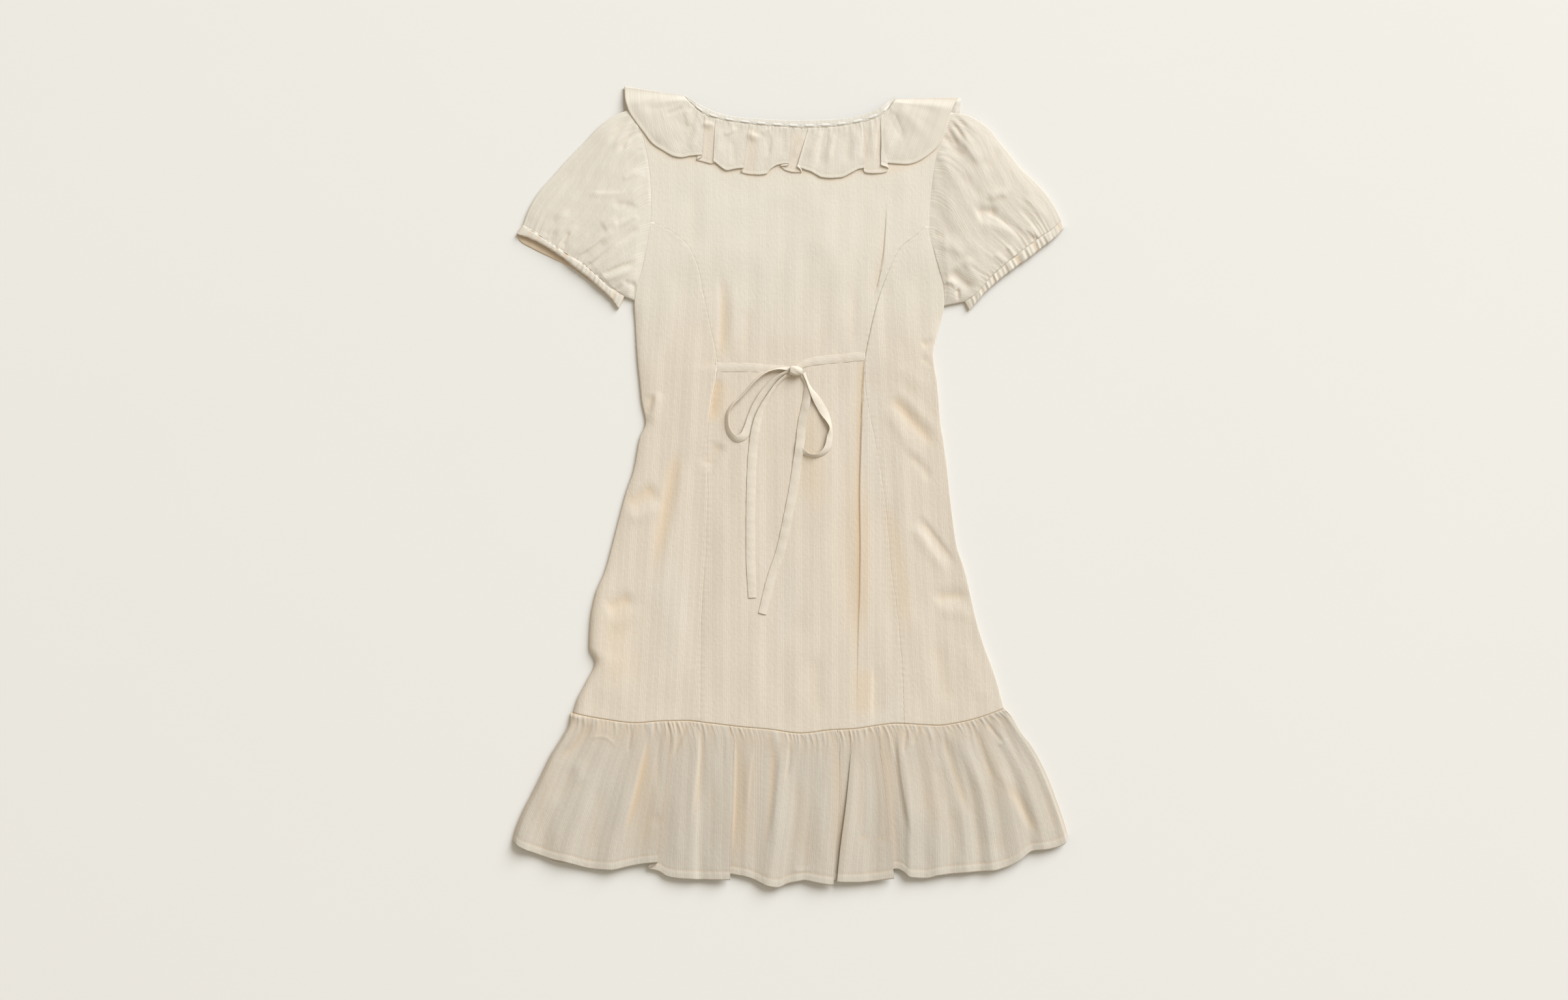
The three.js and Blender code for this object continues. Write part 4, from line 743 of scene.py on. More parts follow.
# Painted shade and light: a warm tint at the foot of the lapped fold and in hollows, with the painted
# glow of glow() and its table; the back is painted paler towards the neck, near the window.
fold_foot = np.exp(-np.maximum(-to_fold, 0) / 7) * (to_fold < 0.3) * lap / 1.6
centre_warm = np.clip(
    glow(x, y) + 0.75 * fold_foot + 0.3 * hollows(centre_points, 4, 0.9)
    + creases(x, y, BACK_PAINTED_GLOW), 0, 0.85
)
back_centre = make_cloth(
    "back_centre_cloth", centre_points, np.stack([x, y], axis=2), striped_cotton, centre_warm,
    lined=False, double_and_lit=1.2 * soft((y - 110) / 210),
)
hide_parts("back_centre")


SIDE_TUCK = table("y height", (-283, 0), (120, 0), (150, 0.6), (200, 0.8), (235, 0.5), (270, 0),
                  (320, 0))
side_tuck = curve(SIDE_TUCK["y"], SIDE_TUCK["height"])
LEFT_TUCK = table("y height", (-283, 0), (60, 0), (100, 0.7), (138, 1.2), (150, 0), (320, 0))
left_tuck = curve(LEFT_TUCK["y"], LEFT_TUCK["height"])
SIDE_COUNT = 52
SIDE_ROWS = 290
TURNED_COLUMNS = 4


def side_piece(name, levels, start, end, seam, slant, tuck):
    """One side of the back, joined to the centre along its long seam."""
    def places(y):
        share = (np.arange(SIDE_COUNT) + 1) / (SIDE_COUNT + 1)
        first, last = start(y), end(y)
        steps = EDGE_STEPS * np.minimum(1, (last - first) / 20)
        middle = mix(first + steps[:, -1:], last - steps[:, -1:], share)
        return [first + steps, middle, last - steps[:, ::-1]]
    x, y = back_grid(levels, pick_columns(places))
    off = np.abs(x - seam(y))
    z = back_height(x, y) + seam_line(off, y, 22) + 0.1 * np.exp(-((off / 7) ** 4))
    z += tuck(y) * soft(off / 0.9) * np.exp(-off / 26)
    z -= 0.12 * np.exp(-((y - hem_seam(x)) / 1.2) ** 2)
    points = np.stack([x, y, z], axis=2)
    # Painted shade and light as on the centre: warm in hollows and on the painted glow table, and paler
    # towards the neck, near the window.
    warm = glow(x, y) + 0.3 * hollows(points, 4, 0.9) + creases(x, y, BACK_PAINTED_GLOW)
    warm = np.clip(warm, 0, 0.85)
    on_right = name.startswith("back_side_right")
    room = ((0, 0), (0, TURNED_COLUMNS) if on_right else (TURNED_COLUMNS, 0))
    pale = np.pad(1.2 * soft((y - 110) / 210), room, mode="edge")
    points = turn_under(points, on_right)
    warm = np.pad(warm, room, mode="edge")
    x, y = points[..., 0], points[..., 1]
    grain = np.stack([x + slant * y, y - slant * x], axis=2)
    return make_cloth(name, points, grain, striped_cotton, warm, lined=False, double_and_lit=pale)


back_side_left = side_piece(
    "back_side_left_cloth", np.linspace(HEM_LEVEL, LEFT_CORNER + 0.6, SIDE_ROWS),
    left_edge, seam_left, seam_left, -0.055, left_tuck,
)
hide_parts("back_side_left")
back_side_right = side_piece(
    "back_side_right_cloth", np.linspace(HEM_LEVEL, RIGHT_CORNER + 0.6, SIDE_ROWS),
    seam_right, right_edge, seam_right, 0.05, side_tuck,
)
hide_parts("back_side_right")

# Front of the body: one panel of the same striped cotton, sewn to the sides and the ruffle.
# It is flat on the floor, lifted a little where it lies on the front collar.
level = np.repeat(np.linspace(HEM_LEVEL, 450, 100)[:, None], 70, axis=1)
share = np.linspace(0, 1, 70)[None, :]
head = soft(((level - HEM_LEVEL) / 733 - 0.6) / 0.4)
y = level
for _ in range(3):
    inset = 0.8 + 2 * soft((y - 400) / 30)
    x = mix(left_edge(y) + inset, right_edge(y) - inset, share)
    foot = soft(1 - (level - HEM_LEVEL) / 62)
    y = level + foot * (hem_seam(x) - HEM_LEVEL) + head * (front_top(x) - 450)
front_points = np.stack([x, y, bed(x, y) + 0.9], axis=2)
front_panel = make_cloth(
    "front_panel_cloth", front_points, np.stack([x, y], axis=2), striped_cotton, wall=0.8
)
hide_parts("front_panel")


# Sleeves: short and puffed, gathered at the head and onto the cuff, and lying nearly flat. The
# stripes run from the shoulder to the cuff and crowd together where the head is gathered.
def walk(x, y):
    """A line through points, read from 0 to 1 by its length."""
    x, y = np.asarray(x, float), np.asarray(y, float)
    along = np.concatenate([[0], np.cumsum(np.hypot(np.diff(x), np.diff(y)))])
    along /= along[-1]
    line_x, line_y = curve(along, x), curve(along, y)
    return lambda s: np.stack([line_x(s), line_y(s)], axis=-1)


def patch(near, far, left, right, u, v):
    """Places on the surface held by four border lines."""
    flat_u, flat_v = u, v
    u, v = u[..., None], v[..., None]
    corner = lambda line, s: line(np.array([float(s)]))[0]
    return (
        mix(near(flat_u), far(flat_u), v)
        + mix(left(flat_v), right(flat_v), u)
        - mix(mix(corner(near, 0), corner(near, 1), u), mix(corner(far, 0), corner(far, 1), u), v)
    )


SLEEVES = {
    "left": {
        "side": -1,
        "warm": 0.0,
        "pale": 0.75,
        "gathers": 0.4,
        "depth": 1.2,
        "underarm": 222,
        "cut": (0.384, 0.188),
        "cut_area": 0.0416,
        "stripes": table("number head cuff", (-0.5, 0, -0.06), (1, 0.06, 0.13), (2, 0.09, 0.23),
                         (3, 0.157, 0.36), (4, 0.31, 0.46), (5, 0.48, 0.55), (6, 0.62, 0.66),
                         (7, 0.77, 0.80), (8.4, 1, 1)),
        "fold": table("x y", (-197.7, 451), (-212.8, 445), (-230.6, 432.7), (-248.6, 413),
                      (-266.5, 394.3), (-284.4, 373.5), (-302.2, 352.2), (-313.2, 332.7),
                      (-320.2, 312.4)),
        "cuff_seam": table("x y", (-320.2, 312.4), (-304.1, 303.8), (-279, 286.5),
                           (-261.1, 275.1), (-245, 265.2), (-230.6, 252.7), (-218.2, 241),
                           (-198.5, 227.5)),
        "cuff_edge": table("x y", (-327.4, 302.2), (-311.6, 297), (-293.7, 288),
                           (-275.7, 276.5), (-257.8, 262.5), (-239.8, 248.4), (-227.4, 237.5),
                           (-212.8, 223.5), (-205.5, 213.3)),
        "under_edge": table("x y", (-327.4, 302.2), (-324.5, 295.2), (-307.7, 284.8),
                            (-284.3, 273.4), (-263.2, 263), (-246.9, 251.5), (-230.5, 238.2),
                            (-212.8, 222.6), (-205.5, 213.3)),
        "creases": (
            (968, 176, 950, 198, 930, 222, 5, 3, -0.9),
            (981, 187, 964, 214, 952, 238, 3, 5, -0.9),
            (975, 181, 957, 206, 940, 236, 3, 3, 0.8),
            (988, 197, 975, 207, 962, 222, 3, 3, -0.8),
            (986, 190, 972, 206, 955, 246, 3, 3, 0.7),
            (946, 182, 912, 218, 872, 272, 14, 9, 0.9),
            (930, 206, 896, 256, 852, 300, 7, 9, -0.7),
            (985, 256, 970, 292, 905, 362, 6, 7, 0.9),
            (978, 232, 958, 270, 912, 316, 10, 12, -0.9),
            (900, 296, 930, 299, 968, 297, 2.5, 5, 0.5),
            (940, 318, 962, 316, 984, 326, 4, 7, -0.7),
            (925, 352, 938, 346, 952, 343, 8, 8, 0.9),
            (862, 330, 846, 350, 838, 366, 2.4, 6, -0.9),
            (874, 322, 862, 344, 850, 362, 6, 4, 0.7),
            (878, 356, 870, 368, 866, 384, 2, 5, -0.9),
            (884, 398, 912, 382, 930, 366, 2, 6, -0.8),
            (896, 396, 920, 372, 950, 352, 5, 5, 0.8),
            (900, 410, 918, 400, 944, 376, 2, 5, -0.8),
            (925, 424, 945, 414, 984, 400, 2.5, 6, -0.9),
            (922, 432, 950, 424, 974, 410, 5, 4, 0.9),
            (938, 452, 956, 440, 968, 430, 3, 4, -0.8),
            (971, 430, 973, 446, 966, 460, 3, 4, -2.2),
            (962, 432, 956, 444, 952, 458, 5, 4, 0.9),
            (820, 300, 812, 320, 808, 342, 8, 8, 0.8),
            (980, 262, 968, 272, 955, 276, 3, 4, 0.5),
            (984, 332, 966, 340, 940, 352, 3, 4, 0.5),
            (984, 352, 966, 362, 946, 380, 3, 5, -0.6),
        ),
        "seed": 31,
    },
    "right": {
        "side": 1,
        "warm": 0.06,
        "pale": 0.15,
        "gathers": 0.45,
        "depth": 1.1,
        "underarm": 216,
        "cut": (0.406, 0.181),
        "cut_area": 0.0450,
        "stripes": table("number head cuff", (0, -0.01, -0.02), (1, 0.012, 0.08), (2, 0.035, 0.17),
                         (3, 0.09, 0.26), (4, 0.2, 0.367), (5, 0.29, 0.47), (6, 0.44, 0.6),
                         (7, 0.62, 0.7), (8, 0.74, 0.8), (9.4, 1, 1)),
        "fold": table("x y", (201, 447), (213.3, 446), (225.8, 440.7), (242.2, 429.1),
                      (253, 414.7), (267.2, 396.9), (279.6, 380.7), (294.1, 366.4),
                      (306.6, 352.2), (317.4, 335.9), (324.6, 319.4)),
        "cuff_seam": table("x y", (324.6, 319.4), (313.8, 308.2), (301.2, 300.1), (279.6, 284),
                           (254.7, 264.3), (242.2, 253.6), (231.3, 241), (222.5, 231.3),
                           (208.7, 221.1)),
        "cuff_edge": table("x y", (328, 310.1), (318, 299), (306.6, 290), (288.8, 276),
                           (270.8, 263), (253, 249.5), (235, 233.9), (224.2, 222), (214, 210.6)),
        "creases": (
            (1460, 174, 1472, 186, 1486, 199, 3, 4, -1.2),
            (1466, 172, 1480, 186, 1500, 206, 5, 3, 1),
            (1457, 183, 1469, 198, 1480, 216, 3, 3, -1.1),
            (1460, 182, 1474, 199, 1492, 226, 4, 2, 0.9),
            (1452, 194, 1462, 210, 1474, 230, 3, 3, -1.3),
            (1450, 202, 1460, 222, 1484, 250, 6, 6, -1.6),
            (1476, 212, 1490, 234, 1506, 256, 10, 4, 1.5),
            (1534, 224, 1526, 246, 1512, 262, 6, 6, -1.1),
            (1440, 232, 1452, 256, 1478, 300, 7, 7, 0.8),
            (1478, 262, 1492, 290, 1510, 306, 7, 7, -0.9),
            (1516, 312, 1532, 300, 1550, 302, 8, 4, 1.5),
            (1496, 330, 1514, 326, 1534, 330, 6, 9, -2),
            (1500, 346, 1530, 350, 1560, 366, 5, 8, 1),
            (1566, 301, 1588, 318, 1602, 342, 6, 2.5, 0.9),
            (1560, 316, 1580, 336, 1592, 356, 5, 4, -0.7),
            (1504, 322, 1548, 346, 1574, 378, 6, 3, -1),
            (1574, 350, 1586, 360, 1600, 370, 6, 2.5, 1),
            (1582, 364, 1590, 368, 1600, 372, 3, 3, -0.8),
            (1544, 378, 1552, 388, 1560, 402, 5, 2.5, 0.9),
            (1524, 390, 1534, 398, 1544, 408, 5, 2.5, 0.9),
            (1436, 300, 1446, 340, 1470, 376, 8, 8, -0.8),
            (1440, 380, 1462, 382, 1480, 398, 9, 6, 1.1),
            (1478, 396, 1492, 416, 1510, 438, 8, 6, 1.4),
            (1458, 414, 1474, 430, 1498, 452, 6, 8, -2.2),
            (1450, 440, 1460, 434, 1468, 446, 4, 3, 1.6),
            (1468, 444, 1471, 452, 1470, 466, 2.5, 3, -2),
            (1484, 402, 1500, 418, 1516, 428, 3, 5, -0.7),
            (1548, 230, 1574, 270, 1600, 312, 10, 10, 0.7),
            (1430, 356, 1440, 362, 1452, 364, 4, 5, -0.6),
        ),
        "seed": 37,
    },
}
SLEEVE_PITCH = 226


def ring_places(upper, lower, edge=0.004):
    """Places round a flattened tube: u from one fold to the other above, and back below."""
    near = edge * np.array((0, 0.25, 0.55, 1, 1.7, 2.7, 4))
    above = np.concatenate([near, np.linspace(5.5 * edge, 1 - 5.5 * edge, upper - 14), 1 - near[::-1]])
    u = np.concatenate([above, 1 - np.arange(1, lower) / lower])
    top = np.arange(len(u)) < len(above)
    return u, top


def gather_folds(u, v, count, seed, low=0.10, high=0.5, first=0.0, last=1.0):
    """Uneven gathers that start at v 0 and die out."""
    rng = np.random.RandomState(seed)
    places = first + (last - first) * (np.arange(count) + rng.uniform(-0.35, 0.35, count) + 0.5) / count
    total = np.zeros(np.broadcast(u, v).shape)
    for place in places:
        width = rng.uniform(0.22, 0.45) * (last - first) / count
        reach = low + (high - low) * rng.beta(1.1, 2.6)
        drift = rng.uniform(-0.03, 0.03)
        strength = rng.uniform(0.4, 1.2)
        total += strength * np.exp(-(((u - place - drift * v) / width) ** 2) - (v / reach) ** 2)
    return total


for side_name, plan in SLEEVES.items():
    side = plan["side"]
    edge = left_edge if side < 0 else right_edge
    heights = np.linspace(plan["fold"]["y"][0], plan["underarm"], 30)
    armhole = walk(edge(heights), heights)
    cuff_seam = walk(plan["cuff_seam"]["x"], plan["cuff_seam"]["y"])
    fold_edge = walk(plan["fold"]["x"], plan["fold"]["y"])
    arm_end, cuff_end = armhole(np.array([1.0]))[0], cuff_seam(np.array([1.0]))[0]
    shift = armhole(np.array([0.0]))[0] - fold_edge(np.array([0.0]))[0]
    outer_line = lambda s: fold_edge(s) + shift * (1 - np.asarray(s))[..., None]
    under_line = lambda s: arm_end + (cuff_end - arm_end) * np.asarray(s)[..., None]
    ring_u, on_top = ring_places(200, 24)
    along = np.concatenate([np.linspace(0, 0.16, 30), np.linspace(0.16, 0.84, 84)[1:],
                            np.linspace(0.84, 1, 30)[1:]])
    u, v = np.meshgrid(ring_u, along)
    plane = patch(armhole, cuff_seam, outer_line, under_line, u, v)
    px, py = plane[..., 0], plane[..., 1]
    stripes_at = plan["stripes"]
    number = mix(
        curve(stripes_at["head"], stripes_at["number"])(u),
        curve(stripes_at["cuff"], stripes_at["number"])(u),
        soft(v / 0.78),
    )
    stripe = number / stripes_at["number"][-1]
    puff = 1.6 * np.clip(4 * v * (1 - v), 0, 1) ** 0.7
    top = mix(4.8, 6, soft(v / 0.2)) + mix(0, -0.6, soft((v - 0.9) / 0.1)) + puff
    head = gather_folds(stripe, v, 15, plan["seed"], 0.08, 0.4, 0.02, 0.62)
    tail = gather_folds(stripe, v, 9, plan["seed"] + 3, 0.04, 0.16, 0.6, 1)
    cuffward = gather_folds(stripe, 1 - v, 26, plan["seed"] + 1, 0.05, 0.4)
    relief = plan["gathers"] * (head + 0.3 * tail) * soft(v / 0.03)
    relief += plan["depth"] * creases(px, py, plan["creases"])
    relief += 0.5 * ripple(stripe * 200, v * 150, 46, plan["seed"] + 2, 2.6)
    relief += 0.16 * ripple(px, py, 17, plan["seed"] + 4, 1.2)
    relief = relief * soft(v / 0.015) + 0.75 * soft((1 - v) / 0.02 + 0.4) * cuffward
    off = np.minimum(u, 1 - u) * mix(228, 152, v)
    swell = 1 - np.exp(-off / 12)
    z = np.where(
        on_top[None, :], 0.4 + 3.2 * turned(off) + (top - 3.6 + relief) * swell, 0.4
    )
    z = z + bed(px, py)
    arm_x, arm_y = armhole(u)[..., 0], armhole(u)[..., 1]
    join = back_height(arm_x, arm_y) - z[:1]
    z += on_top * join * np.exp(-((v / 0.07) ** 2)) * soft(off / 10)
    sleeve_points = np.concatenate([plane, z[..., None]], axis=2)
    allowance = sleeve_points[:1].copy()
    inward = allowance[..., :2] - sleeve_points[1:2, :, :2]
    inward /= np.linalg.norm(inward, axis=2, keepdims=True)
    allowance[..., :2] += 1.2 * inward * (on_top * soft(off[:1] / 10))[..., None]
    allowance[..., 2] -= 0.5 * on_top * soft(off[:1] / 10)
    # Painted shade: the sleeve's hollows are tinted warm, over the sleeve's own small base tint.
    warm = np.clip(plan["warm"] + 0.3 * hollows(sleeve_points, 4, 0.8), 0, 0.7) * on_top
    flat = np.stack([(number + 0.5) * 21.6 + 1.2 * relief * on_top, v * 130], axis=2)
    sleeve_points = np.concatenate([allowance, sleeve_points])
    warm, flat = np.concatenate([warm[:1], warm]), np.concatenate([flat[:1], flat])
    sleeve = make_cloth(
        f"sleeve_{side_name}_cloth", sleeve_points, flat, striped_cotton, warm, ring=True,
        up=False, lined=False, double_and_lit=plan["pale"],
    )
    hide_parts(f"sleeve_{side_name}")

    # Cuff: a narrow casing over elastic, drawn up into small uneven puckers.
    upper_far = walk(plan["cuff_edge"]["x"], plan["cuff_edge"]["y"])
    under = plan.get("under_edge", plan["cuff_edge"])
    lower_far = walk(under["x"], under["y"])
    ring_u, on_top = ring_places(320, 60, 0.003)
    u, v = np.meshgrid(ring_u, np.linspace(0, 1, 15))
    far = np.where(on_top[None, :, None], upper_far(u), lower_far(u))
    near = cuff_seam(u)
    plane = mix(near, far, v[..., None])
    rng = np.random.RandomState(plan["seed"] + 5)
    centres = (np.arange(24) + rng.uniform(-0.33, 0.33, 24) + 0.5) / 24
    pucker = np.zeros(u.shape)
    for centre in centres:
        wide = rng.uniform(0.3, 0.5) / 24
        lean = rng.uniform(-0.006, 0.006)
        pucker += rng.uniform(0.5, 1.1) * np.exp(-(((u - centre - lean * (v - 0.5)) / wide) ** 2))
    belly = np.clip(1 - np.abs(2 * v - 1) ** 2.5, 0, 1)
    stitched = 0.55 * np.exp(-(((v - 0.1) / 0.06) ** 2))
    top = 5.1 + 1.5 * pucker * (0.45 + 0.55 * belly) + 0.3 * belly - stitched
    top -= 1 * soft((v - 0.88) / 0.12)
    off = np.minimum(u, 1 - u) * 152
    swell = 1 - np.exp(-off / 12)
    beneath = 0.4 + 0.9 * pucker * belly * swell
    z = np.where(on_top[None, :], 0.4 + 3.2 * turned(off) + (top - 3.6) * swell, beneath)
    outward = upper_far(u) - near
    outward /= np.maximum(np.linalg.norm(outward, axis=2, keepdims=True), 1e-6)
    edge_wave = 0.6 * (pucker - 0.5) * soft((v - 0.6) / 0.4)
    plane = plane + outward * edge_wave[..., None] * on_top[None, :, None]
    cuff_points = np.concatenate([plane, z[..., None]], axis=2)
    # Painted shade: the troughs between the puckers and the inside of the cuff are tinted warm.
    inside = np.where(on_top[None, :], 0.0, 0.75)
    warm = np.clip(0.06 + 0.55 * soft((0.35 - pucker) / 0.35), 0, 0.8) * on_top + inside
    around = np.where(on_top, ring_u * SLEEVE_PITCH, 2 * SLEEVE_PITCH - ring_u * SLEEVE_PITCH)
    flat = np.stack([np.broadcast_to(around, u.shape), v * 13 + 165], axis=2)
    cuff = make_cloth(
        f"cuff_{side_name}_cloth", cuff_points, flat, striped_cotton, warm, ring=True, up=False,
        double_and_lit=0.4,
    )
    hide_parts(f"cuff_{side_name}")


# Collar: one long ruffle sewn into the neck seam. The back length is laid in soft pleats over
# the shoulders; some turn under and lie in three layers. It has a narrow stitched hem.
COLLAR_FOLDS = table(
    "px py neck lift",
    (959, 133, 1049.4, 0), (960, 150, 1050, 0.6), (965, 170, 1051, 0.8), (976, 188, 1053, 0.4),
    (988, 204, 1056, 0.5), (1002, 222, 1059, 0.9), (1017, 232, 1063, 0.6), (1036, 242, 1068, 0.8),
    (1047, 243.5, 1071, 0.5), (1061, 241, 1075, 0.7), (1074, 240, 1080, 1),
    (1079.5, 240, 1084, 1), (1077, 243.5, 1084, 0.5), (1070, 247, 1083.5, 0.12),
    (1080, 250, 1085, 0.1), (1092, 253, 1096, 0.14), (1096.5, 252, 1099, 0.4),
    (1095.5, 248.5, 1099, 0.85), (1101, 253, 1104, 0.95), (1111, 261, 1114, 0.8),
    (1117, 263.5, 1120, 0.6), (1127, 261.5, 1131, 0.8), (1138, 260, 1144, 0.9),
    (1142.5, 260.7, 1151.5, 1), (1141, 264, 1151, 0.5), (1138.5, 266, 1151.5, 0.2),
    (1146, 268.5, 1155, 0.12), (1153, 269.5, 1161, 0.15), (1165, 270, 1170, 0.5),
    (1177, 268.5, 1180, 0.6), (1182.5, 262, 1184, 0.8), (1194, 255, 1193, 0.9),
    (1206, 253, 1207, 1), (1212.5, 253, 1217, 1), (1209, 256, 1217, 0.5),
    (1199, 257, 1217, 0.15), (1206, 263, 1219, 0.1), (1220, 266.3, 1231, 0.1),
    (1230.5, 266.5, 1240, 0.15), (1229, 262, 1242, 0.5), (1223.5, 257.3, 1241.6, 0.85),
    (1236, 262, 1248, 0.9), (1246, 265.5, 1261, 1), (1252, 269, 1264, 0.75),
    (1262, 274, 1271, 0.7), (1275, 275.3, 1279, 0.95), (1291, 274.3, 1291, 0.7),
    (1307, 267, 1305, 0.85), (1319, 261, 1316, 0.7), (1327.5, 260, 1323, 0.9),
    (1327, 263, 1324, 0.5), (1328, 266.5, 1325, 0.2), (1340, 268, 1335, 0.3),
    (1353, 267.5, 1346, 0.25), (1362, 265, 1351, 0.15), (1363.5, 260, 1352, 0.45),
    (1352.5, 255, 1352.5, 1), (1361, 252, 1357, 0.9), (1373, 253, 1361, 0.7),
    (1390.6, 254, 1364, 0.75), (1400.6, 252.8, 1366, 0.55), (1412.5, 248, 1368, 0.8),
    (1428.4, 237.3, 1370, 0.6), (1440.3, 226.3, 1371.5, 0.85), (1448.3, 212.4, 1372.5, 0.6),
    (1452.3, 200.5, 1373, 0.8), (1457.2, 182.6, 1374, 0.6), (1464.2, 162.8, 1374.5, 0.7),
    (1469.2, 153.8, 1375, 0.3), (1471, 150.8, 1375, 0),
)
COLLAR_CREASES = (
    # x1, y1, x2, y2, x3, y3, left, right, tall
    (1048, 152, 1016, 160, 978, 164, 8, 7, -1.5),
    (1050, 164, 1038, 172, 1020, 178, 3, 3, -0.8),
    (1053, 166, 1057, 182, 1058, 200, 5, 4, 1.1),
    (1058, 182, 1052, 206, 1034, 232, 8, 6, -0.8),
    (1046, 190, 1022, 204, 1008, 222, 10, 10, 0.8),
    (1072, 188, 1068, 212, 1062, 234, 4, 5, 0.7),
    (1081, 186, 1088, 193, 1095, 187, 3, 4, 1.6),
    (1132, 196, 1122, 205, 1110, 208, 2, 4, 0.9),
    (1108, 196, 1104, 220, 1106, 244, 5, 5, 0.7),
    (1121, 212, 1126, 232, 1124, 256, 4, 4, -0.6),
    (1150, 200, 1157, 211, 1162, 204, 4, 5, 1.7),
    (1168, 208, 1176, 202, 1186, 200, 3, 4, 0.6),
    (1179, 208, 1181, 225, 1178, 245, 3, 3, -0.8),
    (1198, 200, 1203, 222, 1200, 246, 4, 4, -0.6),
    (1240, 204, 1226, 224, 1220, 246, 3, 4, 0.9),
    (1262, 200, 1254, 220, 1238, 250, 2.5, 6, 1.1),
    (1272, 206, 1262, 232, 1258, 262, 5, 3, -0.8),
    (1284, 206, 1276, 226, 1272, 256, 3, 5, 0.9),
    (1296, 204, 1300, 226, 1296, 256, 6, 5, -0.7),
    (1316, 196, 1314, 224, 1308, 252, 5, 5, 0.7),
    (1330, 196, 1328, 220, 1322, 248, 4, 3, -0.9),
    (1346, 186, 1345, 216, 1340, 246, 2.5, 8, 0.7),
    (1350, 192, 1351, 220, 1349, 246, 1.6, 5, -1),
    (1368, 172, 1377, 192, 1388, 220, 5, 7, -1.2),
    (1376, 166, 1398, 184, 1420, 214, 8, 8, 0.8),
    (1380, 160, 1410, 164, 1444, 178, 7, 7, -0.8),
    (1358, 190, 1362, 214, 1366, 240, 5, 5, 0.6),
)
NECK_SEAM = table(
    "x y",
    (-128, 468), (-113, 452.8), (-97.9, 443), (-74, 437.3), (-46, 433.4), (-18, 430.9),
    (18, 428.8), (47, 429.9), (76, 433.7), (98, 439.3), (113, 447), (126, 464),
)
neck_height = curve(NECK_SEAM["x"], NECK_SEAM["y"])
fold_x, fold_y = from_photo(COLLAR_FOLDS["px"], COLLAR_FOLDS["py"])
neck_x = (COLLAR_FOLDS["neck"] - PHOTO_MIDDLE[0]) * PIXEL_MM
station = np.linspace(0, 1, len(fold_x))
collar_x, collar_y = curve(station, fold_x), curve(station, fold_y)
collar_from = curve(station, neck_x)
collar_lift = curve(station, COLLAR_FOLDS["lift"])
LEFT_WING_END = 11
RIGHT_WING_START = int(np.flatnonzero(COLLAR_FOLDS["px"] == 1352.5)[0])
COLLAR_LEVEL = 6.75
COLLAR_REST = 3.6
COLLAR_TALL = 1.3


def shoulder_drop(x, y):
    out = np.abs(x)
    ridge = np.where(x < 0, mix(461, 455, (out - 126) / 72), mix(459, 449.5, (out - 126) / 74))
    brim = np.where(x < 0, mix(468, 478.5, (out - 128) / 71), mix(464, 466.4, (out - 126) / 75))
    return np.where(out < 112, 0, soft((y - ridge) / np.maximum(brim - ridge, 2)))


u, v = np.meshgrid(np.linspace(0, 1, (len(fold_x) - 1) * 8 + 1), np.linspace(0, 1, 46))
from_x = collar_from(u)
x = mix(from_x, collar_x(u), v)
y = mix(neck_height(from_x), collar_y(u), v)
spring = 0.12 + 0.88 * soft(v / 0.85)
neck_gathers = gather_folds((from_x + 128) / 254, v, 58, 51, 0.05, 0.34)
wing = soft((np.abs(from_x + 2) - 108) / 14)
z = COLLAR_LEVEL + 0.2 * v + collar_lift(u) * spring * COLLAR_TALL * mix(1, 0.35, wing)
z += 0.75 * wing * soft(v / 0.25) * soft((1 - v) / 0.25)
z = z + 0.6 * neck_gathers * soft(v / 0.04 + 0.2) + creases(x, y, COLLAR_CREASES) * soft(v / 0.1)
z = z + 0.2 * ripple(x, y, 20, 52, 1.5) * soft(v / 0.5)
hem_depth = (1 - v) * 56
z = z - 0.16 * np.exp(-(((hem_depth - 4.2) / 0.8) ** 2))
z = np.maximum(z, COLLAR_LEVEL)
z = mix(z, COLLAR_REST, shoulder_drop(x, y))
collar_points = np.stack([x, y, z], axis=2)
# Painted shade: the hollows, the turned-under layers and the hem's edge are tinted warm; a faint warm
# line follows the hem's stitching.
low_layer = soft((0.45 - collar_lift(u)) / 0.3) * soft(v / 0.3) * soft((from_x + 126) / 8)
warm = 0.03 + 0.32 * hollows(collar_points, 3, 0.8) + 0.22 * low_layer
warm = warm + 0.1 * np.exp(-(((hem_depth - 4.2) / 1) ** 2)) + 0.35 * soft(1 - hem_depth / 1.2)
warm = np.clip(warm, 0, 0.85)
collar_run = np.concatenate([[0], np.cumsum(np.hypot(np.diff(x[-1]), np.diff(y[-1])))])
left_wing = u <= LEFT_WING_END / (len(fold_x) - 1)
right_wing = u >= RIGHT_WING_START / (len(fold_x) - 1)
left_lean = 0.4 * soft((x + 200) / 95)
left_stripes = (x + left_lean * (y - 430) + 189.9) * 0.95 + 10.8
right_stripes = (x - 0.36 * (y - 430) - 131.6) * 0.92 + 10.8
stripe_run = np.where(right_wing, right_stripes, np.broadcast_to(collar_run, u.shape))
flat = np.stack([np.where(left_wing, left_stripes, stripe_run), v * 62], axis=2)
collar_back = make_cloth(
    "collar_back_cloth", collar_points, flat, striped_cotton, warm,
    wall=mix(0.35, 1, soft(1 - hem_depth / 3))[..., None],
    double_and_lit=0.55 + 0.35 * (hem_depth < 4.2),
)
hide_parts("collar_back")

